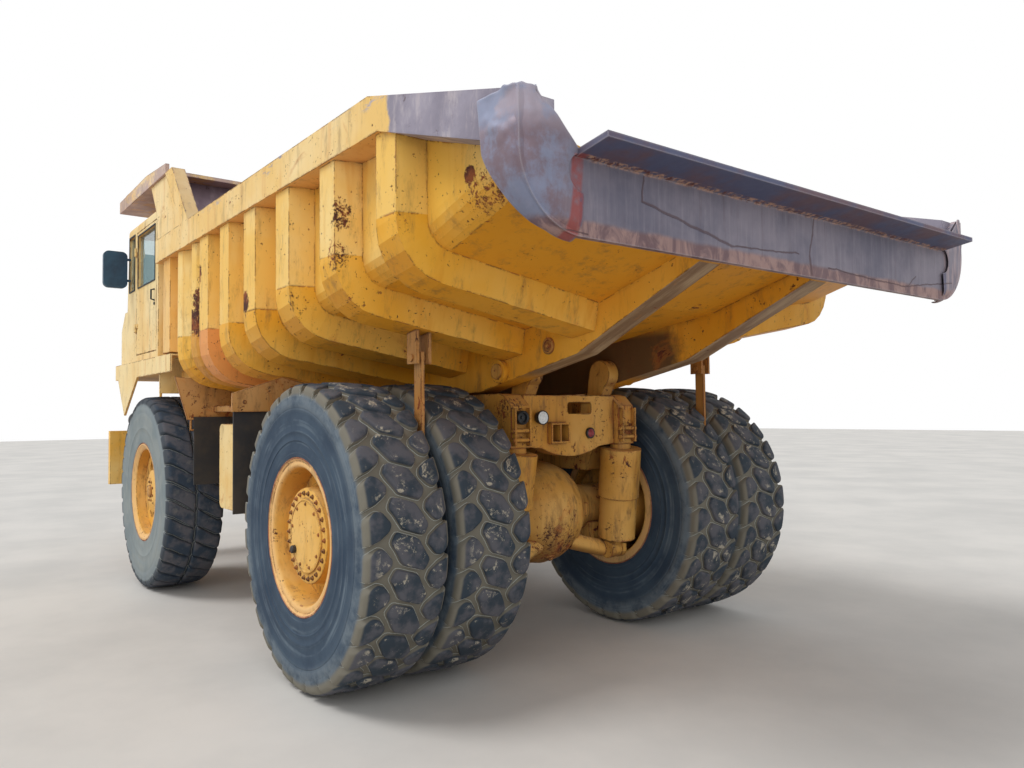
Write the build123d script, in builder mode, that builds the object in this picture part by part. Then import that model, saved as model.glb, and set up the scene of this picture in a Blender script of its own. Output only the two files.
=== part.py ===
"""Rigid dump truck: frame, cab, V-floor bed with its hoists, steered front wheels and twin rear wheels.

Millimetres. +X is the driving direction, +Y the truck's left side, +Z up. The origin is on the ground,
under the middle of the truck's length and width. ahead(d) is the place d in front of the rear axle.
"""

import math
import os

from build123d import *

os.makedirs("parts", exist_ok=True)

# Driving dimensions of the whole truck
overall_length = 8000.0
rear_overhang = 2360.0  # tail lip behind the rear axle
wheelbase = 3660.0
front_track = 3060.0  # between the middles of the front tyres
rear_track = 2510.0  # between the middles of the twin wheels
twin_spacing = 566.0
mirror_span = 4080.0  # over both mirrors
fit_gap = 0.3  # between pieces that seat on each other
running_gap = 0.1  # round a pin or shaft that turns in its bore
panel_gap = 6.0  # round the cab door

# Tyres and rims
tyre_radius = 900.0
tyre_width = 490.0
tread_depth = 34.0
bead_radius = 420.0
flange_radius = 462.0
rim_wall = 25.0
rim_half = 235.0  # from the middle of a rim to the outside of its flange
bead_gap = 1.5  # between the tyre's bead and the flange beside it

# Frame
frame_inner = 405.0
frame_outer = 555.0
frame_top = 1730.0
frame_bottom = 1180.0
frame_rear = -460.0

# Bed plates, ribs and rails
plate = 20.0
bed_rail_inner = 403.0
bed_rail_outer = 563.0
side_face = 1670.0  # outer face of the side plates
rib_depth = 150.0
corner_radius = 150.0
corner_steps = 5  # chords round a corner
floor_rise = math.tan(math.radians(9.7))  # the floor rises outwards on each side
floor_front_z = 1827.0  # underside of the floor between the rails
floor_kink = 1500.0
floor_slope = 0.139
tail_kink = -1290.0
tail_slope = 0.30
tail_end = -2150.0
bed_front = 2600.0
rim_bottom = 2950.0
rim_height = 200.0
rim_kink = -1100.0
rim_tail_bottom = 2600.0
rim_face = 1840.0
rim_width = 200.0
rib_splay = 35.0

# Bed pivot and hoists: distance ahead of the rear axle, and height
pivot_x = -380.0
pivot_z = 1870.0
pivot_radius = 50.0
hoist_foot_x = 1150.0
hoist_foot_z = 600.0
hoist_eye_x = 1405.0
hoist_eye_z = 1740.0
hoist_y = 700.0

# Steering
kingpin_y = 1050.0
spindle_radius = 90.0
steering_arm = 320.0

# Cab and decks
cab_rear = 3060.0
cab_front = 4230.0
cab_nose = 4480.0
cab_inner = 750.0
cab_outer = 1790.0
cab_roof = 3500.0
cab_wall = 50.0
deck_top = 2130.0
deck_thickness = 150.0
deck_rear = 2500.0
deck_front = cab_nose + 70.0
deck_side = 1830.0
door_rear = 3110.0
door_front = 3850.0
door_bottom = 2200.0
door_top = 3390.0
sill_z = 2850.0

# Nose of the truck, measured back from its front end
bumper_front = overall_length - rear_overhang
bumper_taper = 100.0
frame_front = bumper_front - 190.0
grille_depth = 120.0
bonnet_front = frame_front - grille_depth - 30.0

rear_axle_x = rear_overhang - overall_length / 2
front_axle_x = rear_axle_x + wheelbase
axle_z = tyre_radius
rib_face = side_face + rib_depth
outer_twin_y = (rear_track + twin_spacing) / 2
inner_twin_y = (rear_track - twin_spacing) / 2
front_wheel_y = front_track / 2
floor_angle = math.atan(floor_rise)


def ahead(distance):
    """Place on X, from its distance in front of the rear axle."""
    return rear_axle_x + distance


def section_plane(distance):
    """Cross-section plane: local x is the truck's Y and local y its Z."""
    return Plane(origin=(ahead(distance), 0, 0), x_dir=(0, 1, 0), z_dir=(1, 0, 0))


def side_plane(y):
    """Lengthwise plane at y: local x is the truck's X and local y its Z. It extrudes towards -Y."""
    return Plane.XZ.offset(-y)


def block(low, high, mode=Mode.ADD):
    """Box between two opposite corners, whose X places are distances ahead of the rear axle."""
    size = [top - bottom for bottom, top in zip(low, high)]
    middle = [(top + bottom) / 2 for bottom, top in zip(low, high)]
    with Locations((ahead(middle[0]), middle[1], middle[2])):
        Box(*size, mode=mode)


def profile_block(points, y_low, y_high, mode=Mode.ADD):
    """Prism across the truck, from an outline of (distance ahead, height) points."""
    with BuildSketch(side_plane(y_high)) as outline:
        with BuildLine():
            Polyline([(ahead(x), z) for x, z in points], close=True)
        make_face()
    extrude(outline.sketch, amount=y_high - y_low, mode=mode)


def cross_rod(distance, z, radius, y_low, y_high, mode=Mode.ADD):
    """Round bar or bore across the truck."""
    with BuildSketch(side_plane(y_high)) as outline:
        with Locations((ahead(distance), z)):
            Circle(radius)
    extrude(outline.sketch, amount=y_high - y_low, mode=mode)


def rod_between(start, end, radius, mode=Mode.ADD):
    """Round bar between two points, whose X places are distances ahead of the rear axle."""
    first = Vector(ahead(start[0]), start[1], start[2])
    last = Vector(ahead(end[0]), end[1], end[2])
    with BuildSketch(Plane(origin=first, z_dir=last - first)) as outline:
        Circle(radius)
    extrude(outline.sketch, amount=(last - first).length, mode=mode)


def floor_under(distance):
    """Height of the floor's underside between the bed's rails."""
    if distance >= floor_kink:
        return floor_front_z
    if distance >= tail_kink:
        return floor_front_z + floor_slope * (floor_kink - distance)
    return floor_under(tail_kink) + tail_slope * (tail_kink - distance)


def rib_under(distance, y):
    """Height of the underside of a lower rib at a place y from the middle."""
    return floor_under(distance) + floor_rise * (y - bed_rail_outer) - rib_depth / math.cos(floor_angle)


def corner_centre(distance):
    """Centre of the rounded lower corner between the floor and the side plate, as (y, z)."""
    y = side_face - corner_radius
    z = floor_under(distance) + floor_rise * (y - bed_rail_outer) + corner_radius / math.cos(floor_angle)
    return y, z


def corner_band(distance, inside, outside, top, inner_y=None):
    """Face round the lower corner and up to top; with inner_y, it starts there and follows the floor.

    inside and outside are its distances out of the plates' outer face; negative ones lie in the plates.
    """
    centre_y, centre_z = corner_centre(distance)
    ends = []
    with BuildSketch(section_plane(distance)) as face:
        with BuildLine():
            for offset in (inside, outside):
                radius = corner_radius + offset
                tangent_y = centre_y + radius * math.sin(floor_angle)
                tangent_z = centre_z - radius * math.cos(floor_angle)
                start = (tangent_y, tangent_z)
                if inner_y is not None:
                    start = (inner_y, tangent_z - (tangent_y - inner_y) * floor_rise)
                    Line(start, (tangent_y, tangent_z))
                shares = [step / corner_steps for step in range(corner_steps + 1)]
                turns = [(floor_angle - math.pi / 2) * (1 - share) for share in shares]
                Polyline([(centre_y + radius * math.cos(t), centre_z + radius * math.sin(t)) for t in turns])
                Line((centre_y + radius, centre_z), (centre_y + radius, top))
                ends.append((start, (centre_y + radius, top)))
            Line(ends[0][0], ends[1][0])
            Line(ends[0][1], ends[1][1])
        make_face()
    return face.sketch


# Tyres: a carcass of flat facets between polygon sections, and two staggered rows of lugs on its crown
tyre_facets = 24
lugs_per_row = 12
lug_height = tread_depth + 28.0
crown = tyre_radius - tread_depth
bead_half = rim_half - 30.0 - bead_gap

# Half-section from the bead to the crown: distance outwards from the tyre's middle, radius
tyre_sections = (
    (bead_half, flange_radius + fit_gap),
    (tyre_width / 2, (flange_radius + crown) / 2 + 30.0),
    (tyre_width / 2 - 32.0, crown),
)


def wheel_polygon(wheel_x, y, radius):
    """Polygon section of a wheel at y, with the middle of a side straight below the axle."""
    with BuildSketch(Plane(origin=(wheel_x, y, axle_z), x_dir=(1, 0, 0), z_dir=(0, 1, 0))) as section:
        RegularPolygon(radius, tyre_facets, major_radius=False, rotation=180.0 / tyre_facets)
    return section.sketch


def tyre_carcass(wheel_x, wheel_y):
    """Casing of one tyre between the rim's flanges, with its bore on the bead seat."""
    places = [(-offset, radius) for offset, radius in tyre_sections]
    places += [(offset, radius) for offset, radius in reversed(tyre_sections)]
    loft([wheel_polygon(wheel_x, wheel_y + offset, radius) for offset, radius in places], ruled=True)
    bore = wheel_polygon(wheel_x, wheel_y - bead_half, bead_radius + fit_gap)
    extrude(bore, amount=2 * bead_half, mode=Mode.SUBTRACT)


def tyre_lugs(wheel_x, wheel_y, length, width, tilt):
    """Two rows of lugs, half a pitch apart, each tilted across the tread.

    Their tops are set so that a corner of the lowest lug of each row stands on the ground.
    """
    places = []
    lean = math.radians(abs(tilt))
    corner = length / 2 * math.cos(lean) + width / 2 * math.sin(lean)
    quarter_pitch = math.pi / 2 / lugs_per_row
    top = (tyre_radius - corner * math.sin(quarter_pitch)) / math.cos(quarter_pitch)
    reach = top - lug_height / 2
    for side, phase in ((-1, 0.25), (1, 0.75)):
        for index in range(lugs_per_row):
            turn = Location((wheel_x, wheel_y, axle_z), (0, 360.0 * (index + phase) / lugs_per_row, 0))
            places.append(turn * Location((0, side * (width / 2 + 10.0), -reach), (0, 0, side * tilt)))
    with Locations(places):
        Box(length, width, lug_height)


# lug length round the tyre, lug width across, tilt in degrees
front_tread = (150.0, 212.0, 24.0)
rear_tread = (210.0, 206.0, -16.0)

with BuildPart() as front_tyre:
    tyre_carcass(front_axle_x, front_wheel_y)
    tyre_lugs(front_axle_x, front_wheel_y, *front_tread)

with BuildPart() as rear_tyres:
    for twin_y in (inner_twin_y, outer_twin_y):
        tyre_carcass(rear_axle_x, twin_y)
        tyre_lugs(rear_axle_x, twin_y, *rear_tread)

# Rims and hubs: revolved, with the bore that runs on the spindle
flange_depth = 30.0
barrel_inner = bead_radius - rim_wall
spacer_radius = 440.0
rear_disc = outer_twin_y + 52.0  # outer face of the disc in the outer rim
disc_wall = 90.0
rear_hub_radius = 310.0
rear_cover_radius = 225.0
rear_cover_height = 110.0
rear_hub_inner = 1200.0
rear_spindle_radius = 120.0
spindle_end = rear_disc - 110.0


def rim_contour(middle):
    """Outer contour of one rim: flange, bead seat and flange, as (y, radius) points."""
    return [
        (middle - rim_half, flange_radius),
        (middle - rim_half + flange_depth, bead_radius),
        (middle + rim_half - flange_depth, bead_radius),
        (middle + rim_half, flange_radius),
    ]


def revolved(wheel_x, points):
    """Solid of revolution about the axle, from (y, radius) points."""
    with BuildSketch(Plane(origin=(wheel_x, 0, axle_z), x_dir=(0, 1, 0), z_dir=(1, 0, 0))) as contour:
        with BuildLine():
            Polyline(points, close=True)
        make_face()
    revolve(contour.sketch, axis=Axis((wheel_x, 0, axle_z), (0, 1, 0)))


with BuildPart() as rear_rims:
    revolved(
        rear_axle_x,
        rim_contour(inner_twin_y)
        + [(inner_twin_y + rim_half, spacer_radius), (outer_twin_y - rim_half, spacer_radius)]
        + rim_contour(outer_twin_y)
        + [
            (outer_twin_y + rim_half, spacer_radius),
            (outer_twin_y + rim_half - flange_depth, barrel_inner),
            (rear_disc, barrel_inner),
            (rear_disc, rear_hub_radius),
            (rear_disc + 40.0, rear_hub_radius),
            (rear_disc + 40.0, rear_cover_radius),
            (rear_disc + rear_cover_height - 10.0, rear_cover_radius - 20.0),
            (rear_disc + rear_cover_height, 0.0),
            (spindle_end + 10.0, 0.0),
            (spindle_end + 10.0, rear_spindle_radius + running_gap),
            (rear_hub_inner, rear_spindle_radius + running_gap),
            (rear_hub_inner, 300.0),
            (rear_disc - disc_wall, 300.0),
            (rear_disc - disc_wall, barrel_inner),
            (inner_twin_y - rim_half, barrel_inner),
        ],
    )

front_disc = front_wheel_y + 120.0  # outer edge of the dished disc
front_dish = 40.0
front_disc_wall = 30.0
front_hub_radius = 215.0
front_hub_face = front_wheel_y + 170.0
front_hub_inner = 1400.0
front_spindle_end = front_hub_face - 100.0
front_openings = 8
with BuildPart() as front_rim:
    revolved(
        front_axle_x,
        rim_contour(front_wheel_y)
        + [
            (front_wheel_y + rim_half, spacer_radius),
            (front_wheel_y + rim_half - flange_depth, barrel_inner),
            (front_disc, barrel_inner),
            (front_disc - front_dish, front_hub_radius),
            (front_hub_face - 20.0, front_hub_radius - 15.0),
            (front_hub_face, 120.0),
            (front_hub_face, 0.0),
            (front_spindle_end + 10.0, 0.0),
            (front_spindle_end + 10.0, spindle_radius + running_gap),
            (front_hub_inner, spindle_radius + running_gap),
            (front_hub_inner, front_hub_radius),
            (front_disc - front_dish - front_disc_wall, front_hub_radius),
            (front_disc - front_disc_wall, barrel_inner),
            (front_wheel_y - rim_half, barrel_inner),
        ],
    )
    # Openings between the hub and the barrel
    with BuildSketch(Plane.XZ.offset(-front_hub_face)):
        with Locations((front_axle_x, axle_z)):
            with PolarLocations((barrel_inner + front_hub_radius) / 2, front_openings):
                SlotOverall(120.0, 70.0, rotation=90)
    extrude(amount=150.0, mode=Mode.SUBTRACT)

# Frame: two box rails, cross members, pivot ears, hoist feet and suspension brackets
with BuildPart() as frame:
    profile_block(
        [
            (frame_rear, 1380.0),
            (frame_rear, 1650.0),
            (pivot_x - 5.0, frame_top - 12.0),
            (pivot_x + 40.0, frame_top),
            (2950.0, frame_top),
            (3250.0, 1600.0),
            (frame_front, 1500.0),
            (frame_front, 950.0),
            (frame_front - 500.0, 950.0),
            (frame_front - 900.0, frame_bottom),
            (-120.0, frame_bottom),
            (-220.0, 1380.0),
        ],
        frame_inner,
        frame_outer,
    )
    # Pivot ear inside the bed's rail, with the pin through that rail
    profile_block(
        [(-400.0, 1400.0), (-400.0, 1720.0), (-480.0, pivot_z), (-280.0, pivot_z), (-200.0, 1400.0)],
        300.0,
        392.0,
    )
    cross_rod(pivot_x, pivot_z, 100.0, 300.0, 392.0)
    cross_rod(pivot_x, pivot_z, pivot_radius, 300.0, 612.0)
    # Hoist foot: a hanging plate and the pin that carries the barrel
    profile_block(
        [(930.0, 1200.0), (1060.0, 520.0), (1240.0, 520.0), (1440.0, 1200.0)], 470.0, frame_outer
    )
    cross_rod(hoist_foot_x, hoist_foot_z, 45.0, 470.0, 795.0)
    # Front strut carrier, from the rail out to the strut
    profile_block(
        [
            (wheelbase - 180.0, 1300.0),
            (wheelbase - 180.0, 1590.0),
            (wheelbase + 180.0, 1560.0),
            (wheelbase + 180.0, 1300.0),
        ],
        frame_outer,
        925.0,
    )
    # Ear plates and their bolts on the rail's rear end
    for ear_y in (415.0, 535.0):
        block((frame_rear - 35.0, ear_y, 1395.0), (frame_rear + 1, ear_y + 14.0, 1635.0))
    for bolt_z in (1430.0, 1490.0):
        cross_rod(frame_rear - 18.0, bolt_z, 14.0, 400.0, 560.0)
    mirror(about=Plane.XZ)
    # Rear cross member with its openings
    with BuildSketch(section_plane(-300.0)):
        with BuildLine():
            Polyline([(-410, 1385), (-410, 1720), (410, 1720), (410, 1385), (260, 1370)])
            ThreePointArc((260, 1370), (0, 1310), (-260, 1370))
            Line((-260, 1370), (-410, 1385))
        make_face()
        with Locations((-80, 1635)):
            RectangleRounded(220, 80, 20, mode=Mode.SUBTRACT)
        with Locations((88, 1469), (163, 1469)):
            Rectangle(62, 110, mode=Mode.SUBTRACT)
    extrude(amount=-110.0)
    # Raised frame round the two square openings
    with BuildSketch(section_plane(-410.0)):
        with Locations((125.5, 1469)):
            Rectangle(165, 138)
        with Locations((88, 1469), (163, 1469)):
            Rectangle(62, 110, mode=Mode.SUBTRACT)
    extrude(amount=-40.0)
    # Cross members and the tube between the hoist feet
    for low, high, bottom, top in (
        (1260.0, 1380.0, 900.0, 1105.0),
        (2500.0, 2680.0, 1200.0, 1500.0),
        (3580.0, 3740.0, 1180.0, 1300.0),
        (frame_front - 200.0, frame_front - 10.0, 960.0, 1200.0),
    ):
        block((low, -frame_outer, bottom), (high, frame_outer, top))
    cross_rod(hoist_foot_x, hoist_foot_z, 60.0, -480.0, 480.0)

# Rear axle: domed housing, tapered tubes, spindles, A-frame and the lugs under the suspension cylinders
dome_radius = 365.0
tube_radius = 165.0
brake_radius = 290.0
lug_x = -330.0
lug_z = 625.0
with BuildPart() as axle:
    with BuildSketch(Plane(origin=(rear_axle_x, 0, axle_z), x_dir=(0, 1, 0), z_dir=(1, 0, 0))):
        with BuildLine():
            Polyline(
                [
                    (0, 0),
                    (0, dome_radius),
                    (95, dome_radius - 13),
                    (185, dome_radius - 50),
                    (260, dome_radius - 110),
                    (320, tube_radius + 30),
                    (400, tube_radius),
                    (690, tube_radius),
                    (700, brake_radius),
                    (1120, brake_radius),
                    (1120, 180),
                    (1185, 180),
                    (1185, rear_spindle_radius),
                    (spindle_end, rear_spindle_radius),
                    (spindle_end, 0),
                ],
                close=True,
            )
        make_face()
    revolve(axis=Axis((rear_axle_x, 0, axle_z), (0, 1, 0)))
    # Arm out of the dome's underside and the clevis under the suspension cylinder
    rod_between((-210.0, 150.0, 700.0), (lug_x + 60.0, 418.0, lug_z), 58.0)
    for lug_y in (400.0, 500.0):
        profile_block(
            [
                (lug_x - 60.0, lug_z - 20.0),
                (lug_x - 60.0, lug_z + 40.0),
                (-175.0, 678.0),
                (-130.0, 790.0),
                (-70.0, 800.0),
                (-60.0, 720.0),
                (-200.0, 590.0),
            ],
            lug_y,
            lug_y + 40.0,
        )
        cross_rod(lug_x, lug_z, 62.0, lug_y, lug_y + 40.0)
    block((-150.0, 400.0, 680.0), (-90.0, 540.0, 800.0))
    # Bracket on the tube
    block((-195.0, 300.0, 860.0), (-150.0, 350.0, 950.0))
    mirror(about=Plane.XZ)
    # A-frame to the pivot under the frame's cross member
    with BuildSketch(Plane.XY.offset(860.0)):
        with BuildLine():
            Polyline(
                [
                    (ahead(0), -560),
                    (ahead(0), 560),
                    (ahead(140), 560),
                    (ahead(1150), 110),
                    (ahead(1150), -110),
                    (ahead(140), -560),
                ],
                close=True,
            )
        make_face()
        with BuildLine():
            Polyline([(ahead(400), -270), (ahead(400), 270), (ahead(960), 60), (ahead(960), -60)], close=True)
        make_face(mode=Mode.SUBTRACT)
    extrude(amount=120.0)
    block((1060.0, -110.0, 860.0), (1260.0 - fit_gap, 110.0, 1010.0))

# Suspension cylinders under the frame's rails: an upper and a lower sleeve on one leaning line
sleeve_top = (-408.0, 480.0, 1350.0)
sleeve_joint = (-361.0, 496.0, 1000.0)
sleeve_foot = (-320.0, 510.0, 705.0)
with BuildPart() as suspension_cylinders:
    rod_between(sleeve_top, sleeve_joint, 144.0)
    rod_between(sleeve_joint, sleeve_foot, 133.0)
    rod_between((-400.0, 480.0, 1335.0), (-400.0, 480.0, 1380.0 - fit_gap), 75.0)
    block((lug_x - 45.0, 440.0 + fit_gap, 640.0), (lug_x + 45.0, 500.0 - fit_gap, 730.0))
    cross_rod(lug_x, lug_z, 58.0, 440.0 + fit_gap, 500.0 - fit_gap)
    mirror(about=Plane.XZ)

# Power train: the engine as one block, the gearbox and the shaft to the rear axle
with BuildPart() as engine:
    block((cab_rear + 290.0, -390.0, 1300.0 + fit_gap), (bonnet_front - 550.0, 390.0, 2250.0))

with BuildPart() as gearbox:
    block((1560.0, -330.0, 1000.0), (2500.0 - fit_gap, 330.0, 1560.0))
    rod_between((346.0, 0.0, 1090.0), (1570.0, 0.0, 1190.0), 55.0)
    fillet(gearbox.edges().filter_by(Axis.X).group_by(Axis.Z)[0], 90.0)

# Front struts: housings on the frame; the knuckle's post turns in them
strut_radius = 120.0
post_radius = 88.0
strut_bottom = 1180.0
with BuildPart() as struts:
    rod_between((wheelbase, kingpin_y, strut_bottom), (wheelbase, kingpin_y, 1880.0), strut_radius)
    rod_between((wheelbase, kingpin_y, 1880.0), (wheelbase, kingpin_y, 1930.0), 95.0)
    block((wheelbase - 160.0, 925.0 + fit_gap, 1310.0), (wheelbase + 160.0, 1000.0, 1550.0))
    bore_foot = (wheelbase, kingpin_y, strut_bottom)
    bore_head = (wheelbase, kingpin_y, 1500.0)
    rod_between(bore_foot, bore_head, post_radius + running_gap, mode=Mode.SUBTRACT)
    mirror(about=Plane.XZ)

with BuildPart() as knuckle:
    rod_between((wheelbase, kingpin_y, 760.0), (wheelbase, kingpin_y, 1490.0), post_radius)
    rod_between((wheelbase, kingpin_y, 740.0), (wheelbase, kingpin_y, 1080.0), 130.0)
    cross_rod(wheelbase, axle_z, spindle_radius, kingpin_y, 1600.0)
    cross_rod(wheelbase, axle_z, 150.0, kingpin_y, 1230.0)
    cross_rod(wheelbase, axle_z, 280.0, 1230.0, 1350.0)
    block((wheelbase - steering_arm, kingpin_y - 45.0, 770.0), (wheelbase, kingpin_y + 45.0, 850.0))
    rod_between(
        (wheelbase - steering_arm, kingpin_y, 770.0), (wheelbase - steering_arm, kingpin_y, 850.0), 55.0
    )

with BuildPart() as tie_rod:
    rod_between(
        (wheelbase - steering_arm, -kingpin_y, 890.0), (wheelbase - steering_arm, kingpin_y, 890.0), 32.0
    )
    for end_y in (-kingpin_y, kingpin_y):
        rod_between(
            (wheelbase - steering_arm, end_y, 850.0 + fit_gap), (wheelbase - steering_arm, end_y, 930.0), 50.0
        )

# Bed floor: three lengths of the same V section, each sheared to its own slope
stations = (bed_front, floor_kink, tail_kink, tail_end)


def floor_section(distance):
    """Half-section of the floor plate, from the middle to the start of the corner."""
    centre_y, centre_z = corner_centre(distance)
    under = floor_under(distance)
    edge_y = centre_y + corner_radius * math.sin(floor_angle)
    edge_z = centre_z - corner_radius * math.cos(floor_angle)
    inner_y = centre_y + (corner_radius - plate) * math.sin(floor_angle)
    inner_z = centre_z - (corner_radius - plate) * math.cos(floor_angle)
    flat_top = inner_z - (inner_y - bed_rail_outer) * floor_rise
    with BuildSketch(section_plane(distance)) as face:
        with BuildLine():
            Polyline(
                [
                    (-edge_y, edge_z),
                    (-bed_rail_outer, under),
                    (bed_rail_outer, under),
                    (edge_y, edge_z),
                    (inner_y, inner_z),
                    (bed_rail_outer, flat_top),
                    (-bed_rail_outer, flat_top),
                    (-inner_y, inner_z),
                ],
                close=True,
            )
        make_face()
    return face.sketch


with BuildPart() as bed_floor:
    for front, rear in zip(stations[:-1], stations[1:]):
        loft([floor_section(front), floor_section(rear)], ruled=True)

# Side plates: the rounded lower corner and the upright wall, cut to the rim's falling tail
def cut_above_rim():
    """Cut the sides off along the underside of the rim rails."""
    profile_block(
        [
            (bed_front + 10, rim_bottom),
            (rim_kink, rim_bottom),
            (tail_end, rim_tail_bottom),
            (tail_end - 10, rim_tail_bottom),
            (tail_end - 10, 3200.0),
            (bed_front + 10, 3200.0),
        ],
        -rim_face,
        rim_face,
        mode=Mode.SUBTRACT,
    )


with BuildPart() as bed_sides:
    for front, rear in zip(stations[:-1], stations[1:]):
        ends = [corner_band(x, -plate, 0.0, rim_bottom + 50.0) for x in (front, rear)]
        loft(ends, ruled=True)
    mirror(about=Plane.XZ)
    cut_above_rim()

# Side ribs, with the distances of their rear and front edges; the first two are half-round columns
ribs = (
    (2140.0, 2480.0, "round"),
    (1800.0, 2080.0, "round"),
    (1536.0, 1740.0, "box"),
    (1080.0, 1270.0, "box"),
    (570.0, 780.0, "box"),
    (20.0, 220.0, "box"),
    (-590.0, -410.0, "box"),
    (-1240.0, -1050.0, "box"),
)
rib_seam = 2250.0  # the upper ribs stand on the lower ones here, or higher where the corner starts higher
round_steps = 6


def rib_places(rear, front, shape):
    """Outline of a rib seen from above, as (distance, depth) places from its rear to its front."""
    if shape == "box":
        return ((rear - rib_splay, 4.0), (rear, rib_depth), (front, rib_depth), (front + rib_splay, 4.0))
    middle = (rear + front) / 2
    half = (front - rear) / 2
    turns = [math.pi * (0.04 + 0.92 * step / round_steps) for step in range(round_steps + 1)]
    return tuple((middle - half * math.cos(turn), rib_depth * math.sin(turn)) for turn in turns)


def seam_height(rear):
    """Height of the seam between a rib's upper and lower lengths."""
    return max(rib_seam, corner_centre(rear - rib_splay)[1] + 10.0)


with BuildPart() as upper_ribs:
    for rear, front, shape in ribs:
        seam = seam_height(rear)
        places = rib_places(rear, front, shape)
        with BuildSketch(Plane.XY.offset(seam)):
            with BuildLine():
                Polyline(
                    [(ahead(places[0][0]), side_face)]
                    + [(ahead(distance), side_face + depth) for distance, depth in places]
                    + [(ahead(places[-1][0]), side_face)],
                    close=True,
                )
            make_face()
        extrude(amount=rim_bottom - seam)
    mirror(about=Plane.XZ)
    cut_above_rim()

with BuildPart() as lower_ribs:
    for rear, front, shape in ribs:
        seam = seam_height(rear)
        bands = [
            corner_band(distance, 0.0, depth, seam, inner_y=bed_rail_outer)
            for distance, depth in rib_places(rear, front, shape)
        ]
        loft(bands, ruled=True)
    mirror(about=Plane.XZ)

# Rim rails along the tops of the sides, with the rise to the canopy
slope_width = 105.0
canopy_z = 3680.0
canopy_rear = 2640.0
wall_front = 2960.0
with BuildPart() as rim_rails:
    profile_block(
        [
            (wall_front, rim_bottom),
            (rim_kink, rim_bottom),
            (tail_end, rim_tail_bottom),
            (tail_end, 2810.0),
            (-1000.0, rim_bottom + rim_height),
            (wall_front, rim_bottom + rim_height),
        ],
        rim_face - rim_width,
        rim_face,
    )
    profile_block(
        [
            (1990.0, rim_bottom + rim_height),
            (2450.0, canopy_z),
            (canopy_rear + 20.0, canopy_z),
            (2170.0, rim_bottom + rim_height),
        ],
        rim_face - slope_width,
        rim_face,
    )
    profile_block(
        [
            (2150.0, rim_bottom + rim_height - 20.0),
            (canopy_rear, canopy_z),
            (3200.0, canopy_z),
            (3000.0, 3400.0),
            (wall_front, rim_bottom + rim_height - 20.0),
        ],
        rim_face - 40.0,
        rim_face - 20.0,
    )
    mirror(about=Plane.XZ)

# Front wall: leaning plate, corner posts and box stiffeners
wall_x = bed_front + fit_gap
post_bottom = deck_top + 20.0
with BuildPart() as front_wall:
    profile_block(
        [
            (wall_x, 1850.0),
            (wall_x, 3150.0),
            (wall_x + 220.0, canopy_z),
            (wall_x + 245.0, canopy_z),
            (wall_x + 25.0, 3150.0),
            (wall_x + 25.0, 1850.0),
        ],
        -rim_face + rim_width + fit_gap,
        rim_face - rim_width - fit_gap,
    )
    for post_y in (-1150.0, -400.0, 400.0, 1150.0):
        block((wall_x + 25.0, post_y - 90.0, 1900.0), (2880.0, post_y + 90.0, 3100.0))
    block((wall_x + 25.0, -1630.0, 2950.0), (2900.0, 1630.0, 3130.0))
    block((wall_x + 25.0, -1630.0, 1850.0), (2900.0, 1630.0, 2000.0))
    for side in (-1, 1):
        with BuildSketch(Plane.XY.offset(post_bottom)):
            with BuildLine():
                Polyline(
                    [
                        (ahead(wall_x), side * 1600.0),
                        (ahead(wall_x), side * (rib_face - 10.0)),
                        (ahead(wall_x + 180.0), side * (rib_face - 10.0)),
                    ]
                )
                RadiusArc(
                    (ahead(wall_x + 180.0), side * (rib_face - 10.0)),
                    (ahead(wall_front), side * (rib_face - 180.0)),
                    side * 180.0,
                )
                Polyline(
                    [
                        (ahead(wall_front), side * (rib_face - 180.0)),
                        (ahead(wall_front), side * 1600.0),
                        (ahead(wall_x), side * 1600.0),
                    ]
                )
            make_face()
        extrude(amount=rim_bottom - post_bottom - fit_gap)

# Canopy over the cab: plate, lips, under-ribs and a lamp on its front corner
canopy_front = 4370.0
lip_height = 115.0
with BuildPart() as canopy:
    profile_block(
        [
            (canopy_rear, canopy_z + fit_gap),
            (canopy_front, canopy_z + fit_gap),
            (canopy_front, canopy_z + lip_height),
            (canopy_front - 40.0, canopy_z + lip_height),
            (canopy_front - 40.0, canopy_z + 30.0),
            (canopy_rear, canopy_z + 30.0),
        ],
        -rim_face,
        rim_face,
    )
    for lip_y in (-rim_face, rim_face - 30.0):
        profile_block(
            [
                (canopy_rear, canopy_z + 20.0),
                (canopy_rear, canopy_z + 80.0),
                (3300.0, canopy_z + lip_height + 15.0),
                (canopy_front, canopy_z + lip_height),
                (canopy_front, canopy_z + 20.0),
            ],
            lip_y,
            lip_y + 30.0,
        )
    for rib_y in (-1300.0, -450.0, 450.0, 1300.0):
        profile_block(
            [
                (2880.0, canopy_z - 60.0),
                (2880.0, canopy_z + 10.0),
                (canopy_front - 60.0, canopy_z + 10.0),
                (canopy_front - 60.0, canopy_z - 30.0),
            ],
            rib_y - 40.0,
            rib_y + 40.0,
        )
    lamp_x = canopy_front - 25.0
    lamp_y = rim_face - 100.0
    lamp_z = canopy_z + lip_height + 55.0
    rod_between((lamp_x, lamp_y, lamp_z - 65.0), (lamp_x, lamp_y, lamp_z), 14.0)
    rod_between((lamp_x - 45.0, lamp_y, lamp_z), (lamp_x + 25.0, lamp_y, lamp_z), 48.0)

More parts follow.
